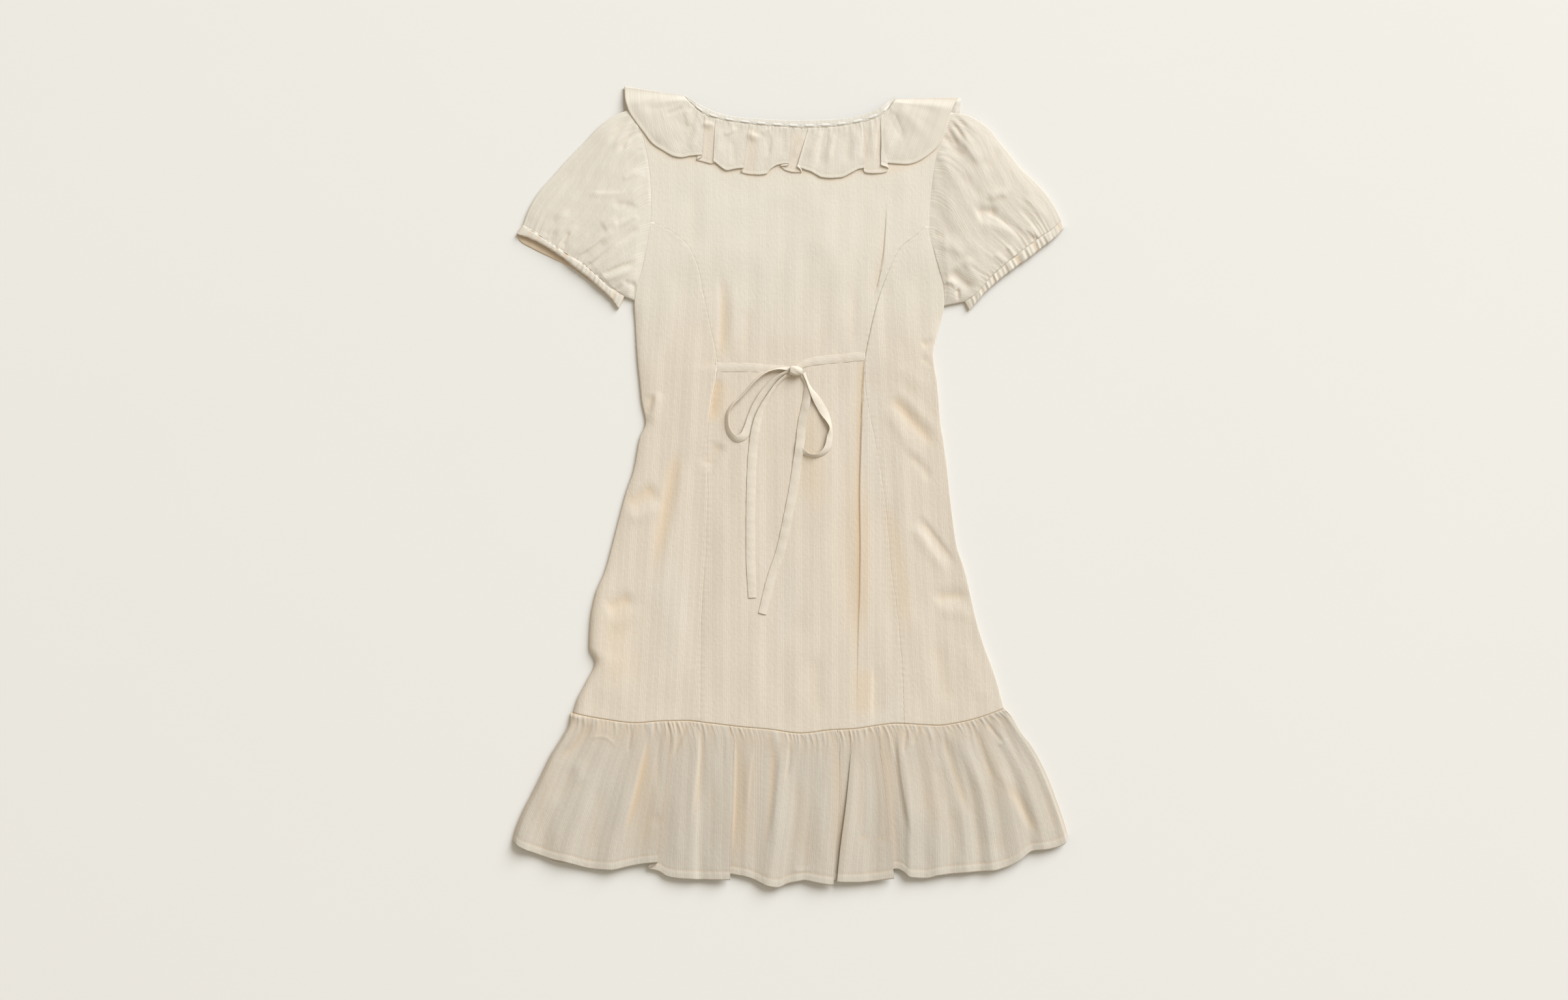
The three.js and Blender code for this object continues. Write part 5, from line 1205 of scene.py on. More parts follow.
# Front collar: the front length of the same ruffle, of striped cotton sewn into the neck seam.
# It is hidden under the front, plain and flat.
FRONT_COLLAR_EDGE = table(
    "x y", (-200, 477), (-199, 452), (-176, 400), (-128, 344), (-64, 306), (0, 296), (64, 306),
    (128, 344), (180, 396), (203, 448), (204.5, 465),
)
FRONT_NECK_SEAM = table(
    "x y", (-129, 467), (-113, 427), (-84, 391), (-44, 365), (0, 357), (44, 365), (84, 391),
    (113, 427), (127, 463),
)
front_neck_seam = walk(FRONT_NECK_SEAM["x"], FRONT_NECK_SEAM["y"])
front_collar_edge = walk(FRONT_COLLAR_EDGE["x"], FRONT_COLLAR_EDGE["y"])
u, v = np.meshgrid(np.linspace(0, 1, 121), np.linspace(0, 1, 13))
plane = mix(front_neck_seam(u), front_collar_edge(u), v[..., None])
z = np.full(u.shape, 0.8)
collar_points = np.concatenate([plane, z[..., None]], axis=2)
flat = np.stack([u * 760, v * 62], axis=2)
collar_front = make_cloth("collar_front_cloth", collar_points, flat, striped_cotton, wall=0.7)
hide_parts("collar_front")


# Neck trim: sheer beading tape on the neck seam, with a narrow white satin ribbon drawn in and
# out through its slots.
def plain_look(name, colour, rough, slub_depth=0.05, sheen=0.1, warm=WARM):
    look = cotton(name, colour, colour, warm, slub_depth, 0.0)
    surface = look.node_tree.nodes["Principled BSDF"]
    surface.inputs["Roughness"].default_value = rough
    surface.inputs["Sheen Weight"].default_value = sheen
    return look


sheer_tape = plain_look("sheer_tape", (0.69, 0.655, 0.58), 0.8)
satin_ribbon = plain_look("satin_ribbon", (0.78, 0.76, 0.70), 0.5, 0.02, 0.05)
TAPE_TOP = table(
    "x y",
    (-128, 470.5), (-112, 459), (-88, 447.6), (-67, 442.5), (-32, 439.5), (5, 438), (47, 439),
    (69, 440.8), (90, 446), (105, 452.4), (115, 459.2), (125, 467),
)
tape_top = walk(TAPE_TOP["x"], TAPE_TOP["y"])
tape_foot = walk(NECK_SEAM["x"], NECK_SEAM["y"] - 0.9)


def tape_place(u, v):
    return mix(tape_foot(mix(0.008, 0.992, u)), tape_top(u), v[..., None])


def tape_level(u):
    return mix(COLLAR_REST, COLLAR_LEVEL + 0.5, soft(np.minimum(u, 1 - u) / 0.08))


TAPE_LONG = 285
u, v = np.meshgrid(np.linspace(0, 1, 460), np.linspace(0, 1, 14))
plane = tape_place(u, v)
run = u * TAPE_LONG
z = tape_level(u) + 0.5 * np.sin(math.pi * v) - 0.5 * v - 0.5 * np.exp(-((v / 0.08) ** 2))
z += 0.1 * ripple(run, v * 9, 5, 54, 1.5)
z += 0.16 * np.exp(-(((v - 0.93) / 0.05) ** 2)) - 0.1 * np.exp(-(((v - 0.16) / 0.05) ** 2))
tape_points = np.concatenate([plane, z[..., None]], axis=2)
flat = np.stack([run, v * 9], axis=2)
lace_holes = np.clip(np.sin(2 * math.pi * run / 2.4), 0, 1) * np.exp(-(((v - 0.62) / 0.1) ** 2))
lace_holes += np.clip(np.sin(2 * math.pi * run / 1.7), 0, 1) * np.exp(-(((v - 0.17) / 0.05) ** 2))
warm = np.clip(0.3 * lace_holes + 0.25 * np.exp(-(((v - 0.06) / 0.07) ** 2)), 0, 0.6)
neck_trim = make_cloth(
    "neck_trim_back_tape", tape_points, flat, sheer_tape, warm, wall=0.25, lined=False
)
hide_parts("neck_trim_back")
RIBBON_PITCH = 20.3
u, v = np.meshgrid(np.linspace(0.02, 0.98, 560), np.linspace(0, 1, 7))
out_of_slot = np.sin(2 * math.pi * u * TAPE_LONG / RIBBON_PITCH)
half = mix(0.05, 0.16, soft((out_of_slot + 0.5) / 1.2))
plane = tape_place(u, 0.36 + (v - 0.5) * 2 * half)
z = tape_level(u) + 0.3 + 0.4 * np.clip(out_of_slot + 0.3, -1.2, 0.7) + 0.2 * np.sin(math.pi * v)
ribbon_points = np.concatenate([plane, z[..., None]], axis=2)
ribbon = make_cloth(
    "neck_ribbon", ribbon_points, np.stack([u * TAPE_LONG, v * 3], axis=2), satin_ribbon, wall=0.15
)

u, v = np.meshgrid(np.linspace(0, 1, 120), np.linspace(0, 1, 6))
places = front_neck_seam(mix(0.06, 0.94, u))
ahead = front_neck_seam(mix(0.06, 0.94, np.clip(u + 0.01, 0, 1)))
behind = front_neck_seam(mix(0.06, 0.94, np.clip(u - 0.01, 0, 1)))
run = ahead - behind
run /= np.linalg.norm(run, axis=2, keepdims=True)
inward = np.stack([-run[..., 1], run[..., 0]], axis=2)
plane = places + inward * mix(0.3, 8, v)[..., None]
front_tape_points = np.concatenate([plane, np.full(u.shape + (1,), 0.9)], axis=2)
neck_trim_front = make_cloth(
    "neck_trim_front_tape", front_tape_points, np.stack([u * 330, v * 8], axis=2), sheer_tape, wall=0.8
)
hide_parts("neck_trim_front")


# Hem ruffle: a deep strip of the striped cotton, gathered onto the body in small pleats. It
# falls in soft folds; four of them lap over their neighbours. It has a 9 mm stitched hem.
HEM_FOLDS = table(
    "px py seam lift bow",
    (788, 1289, 877, 0, 0), (795, 1297, 882, 0.5, 0), (806, 1303, 890, 0.8, 0),
    (818, 1308, 899, 0.45, 0), (831, 1313, 908, 0.3, 0), (850, 1319, 921, 0.65, 0),
    (868, 1322.5, 935, 0.9, 0), (880, 1326, 944, 0.65, 0), (906, 1333, 962, 0.35, 0),
    (922, 1334.5, 973, 0.55, 0), (939, 1335, 985, 0.8, 0), (964, 1330, 1002, 0.45, 0),
    (984, 1326, 1014, 0.55, 0), (1000, 1324, 1022, 0.9, 0), (1011, 1323, 1029, 1, 0),
    (1006, 1328, 1028, 0.5, 0), (996, 1333, 1027, 0.12, 0), (1011, 1337, 1031, 0.12, 0),
    (1025, 1345, 1038, 0.35, 0), (1041, 1348, 1048, 0.6, 0), (1062, 1349, 1063, 0.8, 0),
    (1076, 1350, 1073, 0.4, 0), (1089, 1350, 1084, 0.6, 0), (1108, 1350, 1104, 0.9, 0),
    (1122, 1349.5, 1124, 1, 0), (1118, 1347, 1123, 0.5, 0), (1108, 1343, 1121, 0.12, 0),
    (1122, 1342, 1126, 0.1, 0), (1136, 1344, 1134, 0.2, 0), (1147, 1346, 1142, 0.35, 0),
    (1158, 1350, 1155, 0.3, 0), (1168, 1355, 1175, 0.55, 0), (1180, 1360, 1205, 0.9, 0),
    (1194, 1362, 1216, 0.7, 0), (1209, 1356, 1224, 0.4, 0), (1222, 1353, 1232, 0.6, 0),
    (1235, 1351, 1242, 0.5, 0), (1252, 1354, 1256, 0.8, 0), (1266, 1356.5, 1271, 0.9, 0),
    (1280, 1358, 1287, 0.9, 0), (1277, 1356, 1286, 0.6, 0), (1271, 1352, 1286, 0.3, 0),
    (1281, 1351.5, 1292, 0.25, 0), (1291, 1352, 1301, 0.25, 0), (1289, 1353, 1306, 0.5, 0),
    (1285, 1353, 1309, 0.85, -5), (1293, 1353.5, 1313, 1, -3), (1317, 1354, 1323, 0.65, 0),
    (1338, 1352.5, 1332, 0.5, 0), (1358, 1349.5, 1340, 0.8, -3), (1373, 1347, 1346, 1, -6),
    (1369, 1343, 1345, 0.5, -6), (1362, 1337, 1344, 0.1, -5), (1376, 1334, 1351, 0.1, -3),
    (1387, 1338, 1364, 0.4, 0), (1397, 1346, 1376, 0.8, 0), (1410, 1347.5, 1390, 0.6, 0),
    (1422, 1348, 1400, 0.5, 0), (1442, 1343, 1415, 0.8, 0), (1462, 1341, 1430, 0.4, 0),
    (1483, 1339, 1444, 0.7, 0), (1504, 1337.5, 1457, 0.35, 0), (1524, 1336, 1470, 0.8, 0),
    (1544, 1331, 1483, 0.5, 0), (1564, 1321, 1496, 0.8, 0), (1585, 1306, 1508, 0.4, 0),
    (1603, 1304, 1519, 0.7, 0), (1626, 1299, 1531, 0.4, 0), (1636, 1293, 1537, 0.5, 0),
    (1639, 1282, 1541, 0, 0),
)
RUFFLE_LEFT = table(
    "x y", (-262, -271.5), (-264, -282), (-272.6, -299.1), (-285.9, -320.2), (-298.4, -345.9),
    (-309.3, -367.8), (-319.4, -387.3), (-328.8, -410.7), (-331.9, -422.4),
)
RUFFLE_RIGHT = table(
    "x y", (256, -265.5), (264, -274.2), (275, -292.9), (289.8, -312.4), (305.4, -342),
    (318.6, -375.6), (328, -402.9), (331.9, -416.9),
)
RUFFLE_CREASES = (
    # x1, y1, x2, y2, x3, y3, left, right, tall
    (911, 1107, 887, 1140, 852, 1168, 6, 6, -1.5),
    (926, 1100, 900, 1150, 872, 1190, 7, 5, 1),
    (884, 1166, 889, 1186, 894, 1208, 9, 9, 1),
    (905, 1135, 930, 1132, 950, 1152, 1.6, 1.6, 0.6),
    (971, 1111, 968, 1136, 965, 1162, 2.4, 2.4, -0.9),
    (995, 1112, 977, 1200, 950, 1290, 1.6, 9, 1.4),
    (1001, 1112, 983, 1200, 957, 1290, 6, 2, -0.9),
    (1014, 1117, 1011, 1165, 1012, 1223, 4, 4, -0.8),
    (1001, 1248, 1008, 1258, 1016, 1267, 6, 6, -0.7),
    (1057, 1109, 1044, 1138, 1030, 1168, 2.6, 2.6, -1),
    (1072, 1112, 1070, 1185, 1057, 1270, 1.8, 8, 1),
    (1077, 1112, 1075, 1185, 1063, 1270, 5, 1.8, -0.8),
    (1126.7, 1112, 1127, 1205, 1121.5, 1330, 1.6, 11, 0.9),
    (1131.5, 1112, 1132, 1205, 1126, 1330, 6, 1.8, -0.7),
    (1156, 1145, 1151, 1195, 1148, 1244, 1.5, 5, 0.8),
    (1190, 1120, 1187, 1210, 1174, 1312, 1.6, 7, -1),
    (1197, 1130, 1193, 1210, 1183, 1304, 7, 1.6, 1.4),
    (1213, 1135, 1212, 1168, 1206, 1200, 2.4, 2.4, -1.1),
    (1317, 1285, 1326, 1286, 1335, 1283, 2, 2, -0.8),
    (1347, 1291, 1356, 1286, 1364, 1278, 2, 2, -0.8),
    (1214, 1333, 1230, 1336, 1247, 1332, 2, 2, 0.6),
    (1378, 1112, 1385, 1200, 1404, 1296, 8, 1.5, 1.2),
    (1372, 1112, 1379, 1200, 1397, 1296, 2, 6, -0.8),
    (1393, 1115, 1390, 1137, 1387, 1160, 2.2, 2.2, -1),
    (1414, 1112, 1408, 1128, 1402, 1144, 2.2, 2.2, -1),
    (1438, 1170, 1441, 1205, 1440, 1244, 7, 7, -0.9),
    (1445, 1118, 1466, 1185, 1488, 1260, 5.5, 5.5, -1.8),
    (1462, 1112, 1482, 1165, 1512, 1226, 8, 8, 1.3),
    (1493, 1105, 1510, 1155, 1533, 1214, 3.5, 5, -1.1),
    (1514, 1106, 1527, 1125, 1543, 1144, 2.4, 2.4, -1),
    (1538, 1195, 1568, 1238, 1598, 1294, 6.5, 6.5, -1.5),
    (1525, 1168, 1556, 1228, 1586, 1298, 6, 5, 1),
    (1525, 1092, 1550, 1135, 1575, 1194, 4, 5, -0.8),
    (1531, 1146, 1540, 1140, 1550, 1133, 1.6, 1.6, 0.6),
    (1494, 1290, 1520, 1294, 1546, 1296, 14, 14, -0.9),
    (830, 1190, 822, 1230, 816, 1290, 10, 10, -0.9),
    (858, 1210, 852, 1256, 850, 1310, 9, 9, 0.9),
    (925, 1200, 914, 1260, 906, 1320, 9, 9, -0.9),
    (1040, 1200, 1040, 1270, 1042, 1330, 9, 9, 0.9),
    (1096, 1180, 1092, 1260, 1090, 1330, 8, 8, -0.9),
    (1226, 1190, 1228, 1260, 1224, 1330, 9, 9, -0.8),
    (1258, 1200, 1260, 1270, 1262, 1330, 8, 8, 0.8),
    (1324, 1150, 1322, 1220, 1326, 1330, 9, 9, -0.9),
    (1420, 1230, 1424, 1280, 1430, 1325, 8, 8, 0.8),
    (1460, 1240, 1468, 1280, 1474, 1325, 7, 7, -0.8),
    (1606, 1210, 1612, 1240, 1620, 1280, 7, 7, -0.8),
)
# Painted glow: places of the ruffle tinted a warmer peach, in its troughs and beside its lapped folds.
RUFFLE_PAINTED_GLOW = (
    # x1, y1, x2, y2, x3, y3, left, right, amount
    (1001, 1112, 983, 1200, 956, 1290, 6, 3, 0.4),
    (1131, 1112, 1132, 1205, 1126, 1330, 9, 4, 0.3),
    (1077, 1112, 1075, 1185, 1063, 1270, 7, 4, 0.26),
    (996, 1130, 993, 1230, 990, 1330, 15, 15, 0.4),
    (1150, 1120, 1148, 1230, 1140, 1330, 14, 16, 0.34),
    (1040, 1100, 1034, 1135, 1028, 1180, 12, 12, 0.24),
    (1230, 1180, 1232, 1260, 1236, 1330, 14, 12, 0.2),
    (1320, 1120, 1318, 1200, 1316, 1290, 9, 9, 0.22),
    (1420, 1120, 1428, 1200, 1436, 1300, 12, 10, 0.2),
    (1500, 1110, 1520, 1170, 1548, 1240, 12, 10, 0.22),
    (860, 1150, 842, 1200, 828, 1270, 12, 12, 0.2),
    (1357, 1115, 1358, 1220, 1366, 1330, 12, 12, 0.3),
    (1280, 1136, 1287, 1220, 1285, 1340, 8, 8, 0.5),
    (1445, 1118, 1466, 1185, 1488, 1260, 6, 6, 0.32),
    (1538, 1195, 1568, 1238, 1598, 1294, 7, 7, 0.28),
    (911, 1107, 887, 1140, 852, 1168, 7, 7, 0.32),
    (1188, 1120, 1185, 1210, 1172, 1312, 2, 6, 0.25),
)
RUFFLE_TALL = 5.6
fold_x, fold_y = from_photo(HEM_FOLDS["px"], HEM_FOLDS["py"])
seam_x = (HEM_FOLDS["seam"] - PHOTO_MIDDLE[0]) * PIXEL_MM
station = np.linspace(0, 1, len(fold_x))
hem_x, hem_y = curve(station, fold_x), curve(station, fold_y)
hem_from, hem_lift = curve(station, seam_x), curve(station, HEM_FOLDS["lift"])
hem_bow = curve(station, HEM_FOLDS["bow"] * PIXEL_MM)


def ruffle_top(s):
    return np.stack([hem_from(s), hem_seam(hem_from(s))], axis=-1)


for border, end in ((RUFFLE_LEFT, 0.0), (RUFFLE_RIGHT, 1.0)):
    border["x"][0], border["y"][0] = ruffle_top(np.array([end]))[0]
ruffle_left = walk(RUFFLE_LEFT["x"], RUFFLE_LEFT["y"])
ruffle_right = walk(RUFFLE_RIGHT["x"], RUFFLE_RIGHT["y"])


def ruffle_hem(s):
    return np.stack([hem_x(s), hem_y(s)], axis=-1)


columns = (len(fold_x) - 1) * 9 + 1
down = np.concatenate([np.linspace(0, 0.3, 32), np.linspace(0.3, 0.92, 26)[1:],
                       np.linspace(0.92, 1, 10)[1:]])
u, v = np.meshgrid(np.linspace(0, 1, columns), down)
plane = patch(ruffle_top, ruffle_hem, ruffle_left, ruffle_right, u, v)
x, y = plane[..., 0] + hem_bow(u) * np.sin(math.pi * v), plane[..., 1]
inside = 1 - np.exp(-np.minimum(u, 1 - u) / 0.008)
spring = 0.12 + 0.88 * soft(v / 0.7)
rng = np.random.RandomState(61)
gathers = np.zeros(u.shape)
gather_at = np.cumsum(rng.uniform(3.6, 6.6, 160))
gather_at = seam_x[0] + gather_at[gather_at < seam_x[-1] - seam_x[0]]
from_line = hem_from(u)
for place in gather_at:
    reach = 0.035 + 0.34 * rng.beta(1, 4)
    width = rng.uniform(1.0, 1.9)
    strength = rng.uniform(0.3, 1.1)
    lean = rng.uniform(-26, 26)
    near_place = np.abs(from_line - place) < 8
    across_line = (from_line - place - lean * v) / (width * (1 + 3 * v))
    amount = strength * np.exp(-(across_line**2) - (v / reach) ** 2)
    gathers += np.where(near_place, amount, 0)
z = CLOTH + 0.3 + CLOTH + inside * (
    mix(LOFT, 1.6, soft(v / 0.4)) + RUFFLE_TALL * hem_lift(u) * spring
)
seam_place = ruffle_top(u)
body_there = back_height(seam_place[..., 0], seam_place[..., 1])
z += (body_there - 0.12 - z) * np.exp(-((v / 0.05) ** 2))
z += inside * 1.0 * gathers * soft(v / 0.012)
z += inside * (0.3 * ripple(x, y, 44, 62, 2.6) * soft(v / 0.3) + 0.85 * creases(x, y, RUFFLE_CREASES))
hem_depth = (1 - v) * 180
z -= inside * 0.3 * np.exp(-((hem_depth - 9) / 1.1) ** 2)
z += inside * (0.2 + 0.14 * ripple(x, hem_depth * 0, 9, 63)) * soft((9 - hem_depth) / 2)
to_side = np.minimum(u, 1 - u) * 700
z += soft(v / 0.02) * np.where(
    x < 0, 3.2 * np.exp(-((np.maximum(to_side - 7, 0) / 16) ** 2)), 2.4 * np.exp(-to_side / 9)
)
z = np.where(x < 0, mix(3.4, z, turned(to_side, 8)), z)
ruffle_points = np.stack([x, y, z], axis=2)
# Painted shade: hollows, the lower layers, the places of the painted glow table and the gaps between
# gathers at the seam are tinted warm; warm lines follow the hem's stitching and the seam, and the tone
# varies a little at random.
low_layer = soft((0.34 - hem_lift(u)) / 0.3) * soft(v / 0.3)
warm = np.clip(
    0.12 + 0.04 * ripple(x, y, 90, 64, 1.5) + 0.3 * hollows(ruffle_points, 3, 0.8)
    + 0.12 * low_layer + 0.5 * creases(x, y, RUFFLE_PAINTED_GLOW)
    + 0.1 * np.exp(-((hem_depth - 9) / 1.4) ** 2) + 0.3 * np.exp(-((v / 0.006) ** 2))
    + 0.25 * np.exp(-((v / 0.12) ** 2)) * soft((0.5 - gathers) / 0.5),
    0, 0.85,
)
ruffle_run = np.concatenate([[0], np.cumsum(np.hypot(np.diff(x[-1]), np.diff(y[-1])))])
flat = np.stack([np.broadcast_to(ruffle_run * 0.95, u.shape), v * 182], axis=2)
# Painted shade: the ruffle's cotton is the same striped cloth with its colours darkened.
shaded_ruffle_cotton = cotton(
    "shaded_ruffle_cotton", tuple(c * 0.84 for c in CREAM), tuple(c * 0.85 for c in SATIN),
    tuple(c * 0.88 for c in WARM),
)
for last in (False, True):
    ruffle_points = turn_under(ruffle_points, last)
both_sides = (TURNED_COLUMNS, TURNED_COLUMNS)
warm, hem_depth = (np.pad(grid, ((0, 0), both_sides), mode="edge") for grid in (warm, hem_depth))
flat = np.pad(flat, ((0, 0), both_sides, (0, 0)), mode="edge")
hem_ruffle_back = make_cloth(
    "hem_ruffle_back_cloth", ruffle_points, flat, shaded_ruffle_cotton, warm, wall=0.4,
    double_and_lit=0.45 * (hem_depth < 9),
)
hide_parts("hem_ruffle_back")

# Front hem ruffle: the front length of the same strip, sewn to the front panel. It lies flat
# on the floor and shows below the back one only near its left corner.
u, v = np.meshgrid(np.linspace(0, 1, 181), np.linspace(0.009, 1, 24))
peep = 5.5 * np.exp(-((hem_x(u) + 282) / 22) ** 2) + 3 * np.exp(-((hem_x(u) - 290) / 14) ** 2)
plane = patch(ruffle_top, ruffle_hem, ruffle_left, ruffle_right, mix(0.004, 0.996, u), v * 0.985)
plane[..., 1] -= peep * v**4
front_ruffle_points = np.concatenate([plane, np.full(u.shape + (1,), 0.9)], axis=2)
flat = np.stack([u * 700, v * 182], axis=2)
# Painted shade: the front ruffle, lying under the back one, is tinted warm all over.
hem_ruffle_front = make_cloth(
    "hem_ruffle_front_cloth", front_ruffle_points, flat, shaded_ruffle_cotton, 0.3, wall=0.8,
)
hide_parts("hem_ruffle_front")


# Ties: bands of plain cotton folded and stitched to 10.5 mm, set into the long seams and tied
# in a bow. Each row is a place on the band's middle, its height over the back, its width and
# its lean (0 flat, 90 on edge).
plain_cotton = plain_look("plain_cotton", (0.70, 0.63, 0.525), 0.85, 0.05, 0.12)
TIES = {
    "tie_strap_left": ("px py up wide lean", (
        (1098, 564, 0.6, 11, 0), (1110, 564.5, 0.7, 11, 0), (1130, 564.5, 0.7, 10.8, 0),
        (1150, 565, 0.7, 10.4, 0), (1170, 566, 0.7, 9.8, 0), (1190, 567, 0.8, 9, 0),
        (1212, 568, 0.9, 8, 0))),
    "tie_strap_right": ("px py up wide lean", (
        (1328, 547.5, 0.6, 10.5, 0), (1310, 549, 0.7, 10.5, 0), (1290, 551, 0.7, 10.5, 0),
        (1270, 553, 0.8, 10.2, 0), (1250, 555.5, 0.9, 9.6, 0), (1238, 558, 1.1, 8.8, 0),
        (1229, 562, 1.4, 8, 0), (1224, 566, 1.6, 7, 0))),
    "bow_loop_left": ("px py up wide lean", (
        (1214, 567.5, 3.2, 5, 40), (1200, 566.6, 3, 8, 70), (1184, 569.4, 2.8, 9.5, 80),
        (1169, 577.5, 2, 10.5, 80), (1154, 592, 1, 10.5, 80), (1140, 607.6, 0.7, 10.5, 78),
        (1126, 621, 0.7, 10.5, 76), (1117.5, 637, 0.7, 10.5, 70), (1116.5, 652, 0.7, 10.5, 62),
        (1121.5, 666, 0.7, 10.5, 52), (1131.5, 674.5, 0.7, 10.5, 44),
        (1142, 670, 0.7, 10.5, 30), (1149.5, 656, 0.7, 10.5, 16), (1155, 640, 0.7, 10.5, 10),
        (1161, 625, 0.8, 10, 14), (1169, 610, 1, 9.4, 24), (1179, 595.5, 1.4, 8.6, 36),
        (1191, 582.5, 2, 7.6, 50), (1204, 573.6, 2.8, 6.4, 58), (1215, 570, 3.4, 4.6, 40))),
    "tie_tail_left": ("px py up wide lean", (
        (1214, 575, 1.2, 4.6, 30), (1204, 580, 0.8, 6, -52), (1193, 591, 0.7, 7.4, -58),
        (1183, 605, 0.7, 8.6, -56), (1174.5, 619.5, 0.7, 9.6, -50), (1167.5, 634, 0.7, 10.2, -40),
        (1162.5, 650, 0.7, 10.5, -24), (1159, 668, 0.7, 10.5, -10), (1156.5, 690, 0.7, 10.5, 0),
        (1154.5, 715, 0.7, 10.5, 0), (1153, 765, 0.7, 10.5, 0), (1152.5, 805, 0.7, 10.5, 0),
        (1152.5, 850, 0.7, 10.5, 0), (1154, 890, 0.7, 10.3, 0), (1155.3, 918.5, 0.7, 9.4, 0))),
    "bow_loop_right": ("px py up wide lean", (
        (1234.5, 573, 3.2, 4.6, -40), (1239, 586, 2.2, 6, -66), (1245, 599, 1.4, 8, -56),
        (1251, 609, 0.9, 9.6, -34), (1258, 621, 0.8, 10.4, -22), (1265, 633.5, 0.8, 10.5, -26),
        (1272, 646, 0.9, 10.5, -56), (1275.6, 657.5, 1, 10.5, -74), (1274, 672, 0.8, 10.5, -46),
        (1271, 686, 0.8, 10.5, -44), (1263, 696, 0.8, 10.5, -56), (1252, 700.6, 0.8, 10.5, -66),
        (1241, 699, 0.8, 10, -62), (1234, 694.6, 0.6, 9, -40), (1226.5, 688.5, 0.4, 7.5, -22))),
    "tie_tail_right": ("px py up wide lean", (
        (1230, 576, 1.4, 4.6, 30), (1234.5, 585, 0.8, 5.4, 60), (1238.5, 596, 0.7, 7.6, 48),
        (1239, 611, 0.7, 10, 26), (1236.5, 626, 0.7, 10.5, 24), (1233.5, 641, 0.7, 10.5, 14),
        (1231, 656, 0.8, 10.5, 6), (1229.6, 672, 1.5, 10.5, 0), (1227.8, 688, 3, 10.5, 0),
        (1225, 706, 1.4, 10.5, 0), (1223, 720, 0.7, 10.5, 0),
        (1220, 741, 0.7, 10.5, 0), (1209.5, 796, 0.7, 10.5, 0), (1199.5, 842.5, 0.7, 10.5, 0),
        (1184, 890, 0.7, 10.5, 0), (1170.5, 943, 0.7, 9.6, 0))),
}
TIE_WIDE = 10.5


UPRIGHT = 0.48


def ground(x, y):
    return np.max([back_height(x + dx, y + dy) for dx, dy in
                   ((0, 0), (-3, 0), (3, 0), (0, -3), (0, 3))], axis=0)


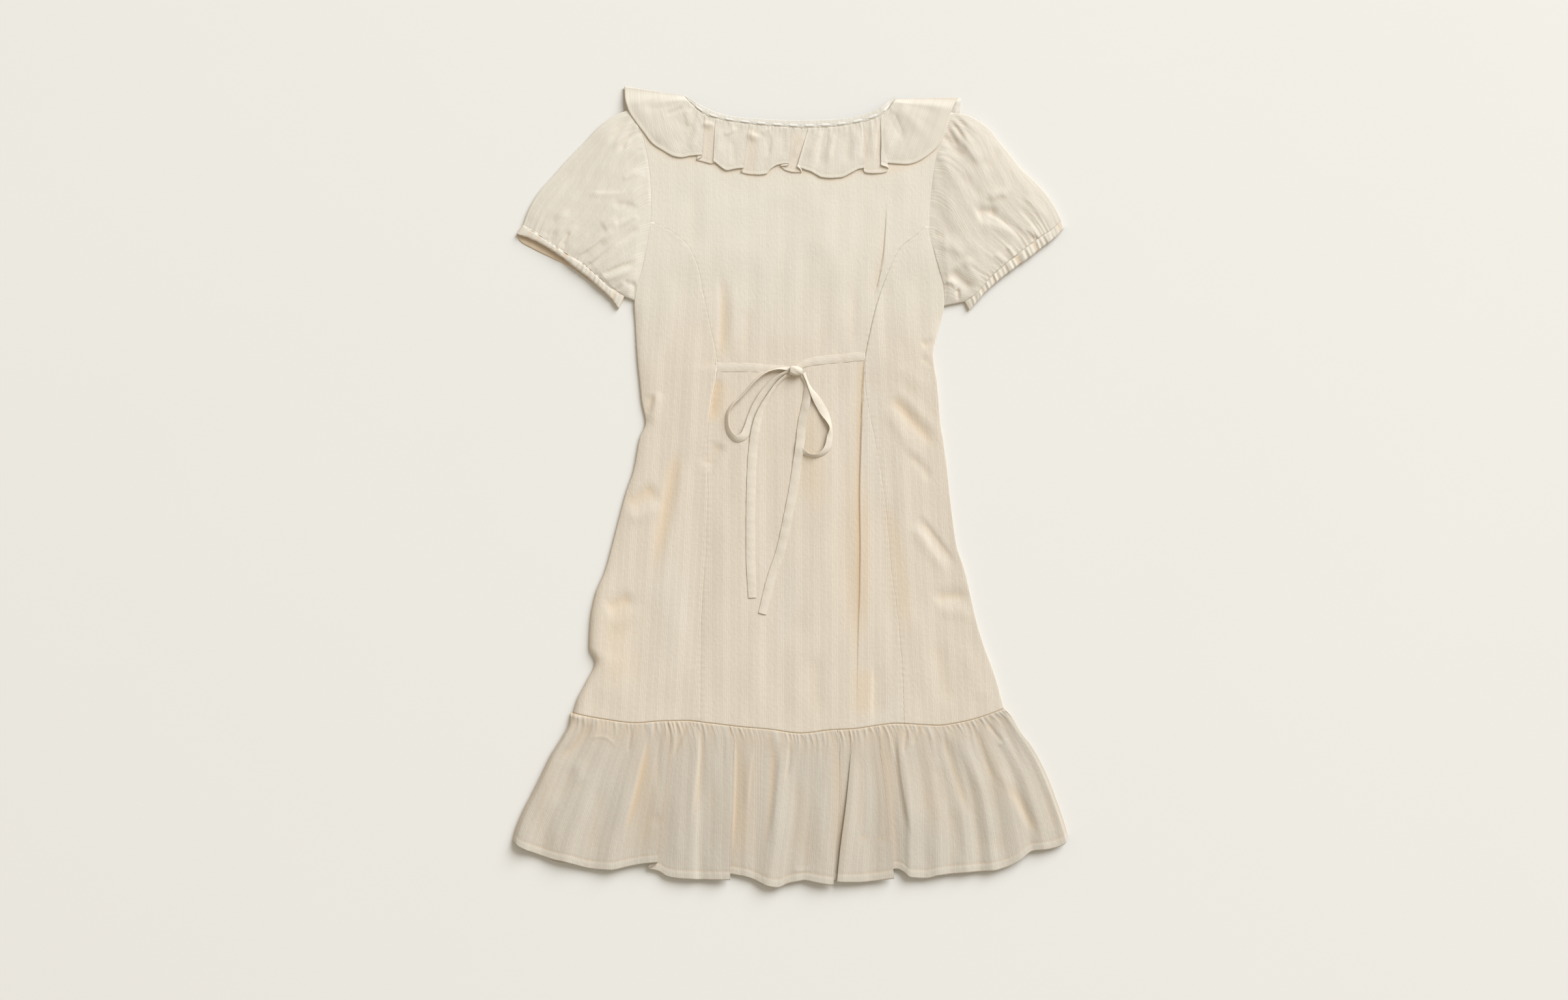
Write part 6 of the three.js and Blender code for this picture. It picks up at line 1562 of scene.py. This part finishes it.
for number, (tie_name, (names, rows)) in enumerate(TIES.items()):
    tie = table(names, *rows)
    mid_x, mid_y = from_photo(tie["px"], tie["py"])
    station = np.concatenate([[0], np.cumsum(np.hypot(np.diff(mid_x), np.diff(mid_y)))])
    length = station[-1]
    s = np.linspace(0, length, max(int(length / 1.1), 30))
    line_x, line_y = curve(station, mid_x)(s), curve(station, mid_y)(s)
    up, wide, lean = (curve(station, tie[key])(s) for key in ("up", "wide", "lean"))
    for _ in range(6):
        inner = slice(1, -1)
        line_x[inner] = (line_x[:-2] + 2 * line_x[1:-1] + line_x[2:]) / 4
        line_y[inner] = (line_y[:-2] + 2 * line_y[1:-1] + line_y[2:]) / 4
    dx, dy = np.gradient(line_x), np.gradient(line_y)
    size = np.hypot(dx, dy)
    angle = np.radians(lean)
    flat_part, tall_part = np.cos(angle), UPRIGHT * np.sin(angle)
    across_way = np.stack([-dy / size * flat_part, dx / size * flat_part, tall_part], axis=1)
    facing = np.stack([dy / size * tall_part, -dx / size * tall_part, flat_part], axis=1)
    facing /= np.linalg.norm(facing, axis=1, keepdims=True)
    base = ground(line_x, line_y) + 0.6 * up + UPRIGHT * wide / 2 * np.abs(np.sin(angle)) - 0.35
    middle = np.stack([line_x, line_y, base], axis=1)
    side = np.linspace(-1, 1, 17)
    swell = 0.4 * (1 - side**2) - 0.08 * np.exp(-(((np.abs(side) - 0.72) / 0.12) ** 2))
    pinch = 0.22 * ripple(s[:, None], side[None, :] * 5, 13, 70 + number, 2.2)
    points = (
        middle[:, None, :]
        + across_way[:, None, :] * (wide / 2)[:, None, None] * side[None, :, None]
        + facing[:, None, :] * (swell[None, :] + pinch)[..., None]
    )
    drape = back_height(points[..., 0], points[..., 1]) - ground(line_x, line_y)[:, None]
    points[..., 2] += drape * (flat_part**2)[:, None]
    flat = np.stack(np.meshgrid(side * TIE_WIDE / 2, s), axis=2)
    # Painted shade: the band's outer edges are tinted warm.
    edge_shade = 0.12 * np.abs(side) ** 6
    piece = make_cloth(
        f"{tie_name}_band", points, flat, plain_cotton, np.broadcast_to(edge_shade, points.shape[:2]),
        wall=0.5, up=abs(lean).max() < 5,
    )
    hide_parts(tie_name)

# Knot: the same plain cotton band, wrapped once round the others and pulled tight, so that it
# rounds over. Only its own tension holds it.
KNOT_AT = from_photo(1222.5, 570.5)
around, along = np.meshgrid(np.linspace(0, 2 * math.pi, 48, endpoint=False), np.linspace(-1, 1, 22))
turn_knot = math.radians(-8)
taper = 1 - 0.16 * along
bulge = np.sqrt(np.clip(1 - 0.55 * along**2, 0, 1))
local_x = 7.2 * along
local_y = 5.0 * taper * bulge * np.sign(np.sin(around)) * np.abs(np.sin(around)) ** 0.8
local_z = 3.6 * bulge * np.cos(around) + 0.25 * np.sin(5 * around + 3 * along) * (1 - along**2)
knot_base = float(ground(np.array([KNOT_AT[0]]), np.array([KNOT_AT[1]]))[0]) + 5.6
knot_points = np.stack([
    KNOT_AT[0] + local_x * math.cos(turn_knot) - local_y * math.sin(turn_knot),
    KNOT_AT[1] + local_x * math.sin(turn_knot) + local_y * math.cos(turn_knot),
    knot_base + local_z,
], axis=2)
knot = make_cloth(
    "bow_knot_band", knot_points, np.stack([around * 5, along * 7], axis=2), plain_cotton,
    wall=0.8, ring=True, up=False,
)
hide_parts("bow_knot")
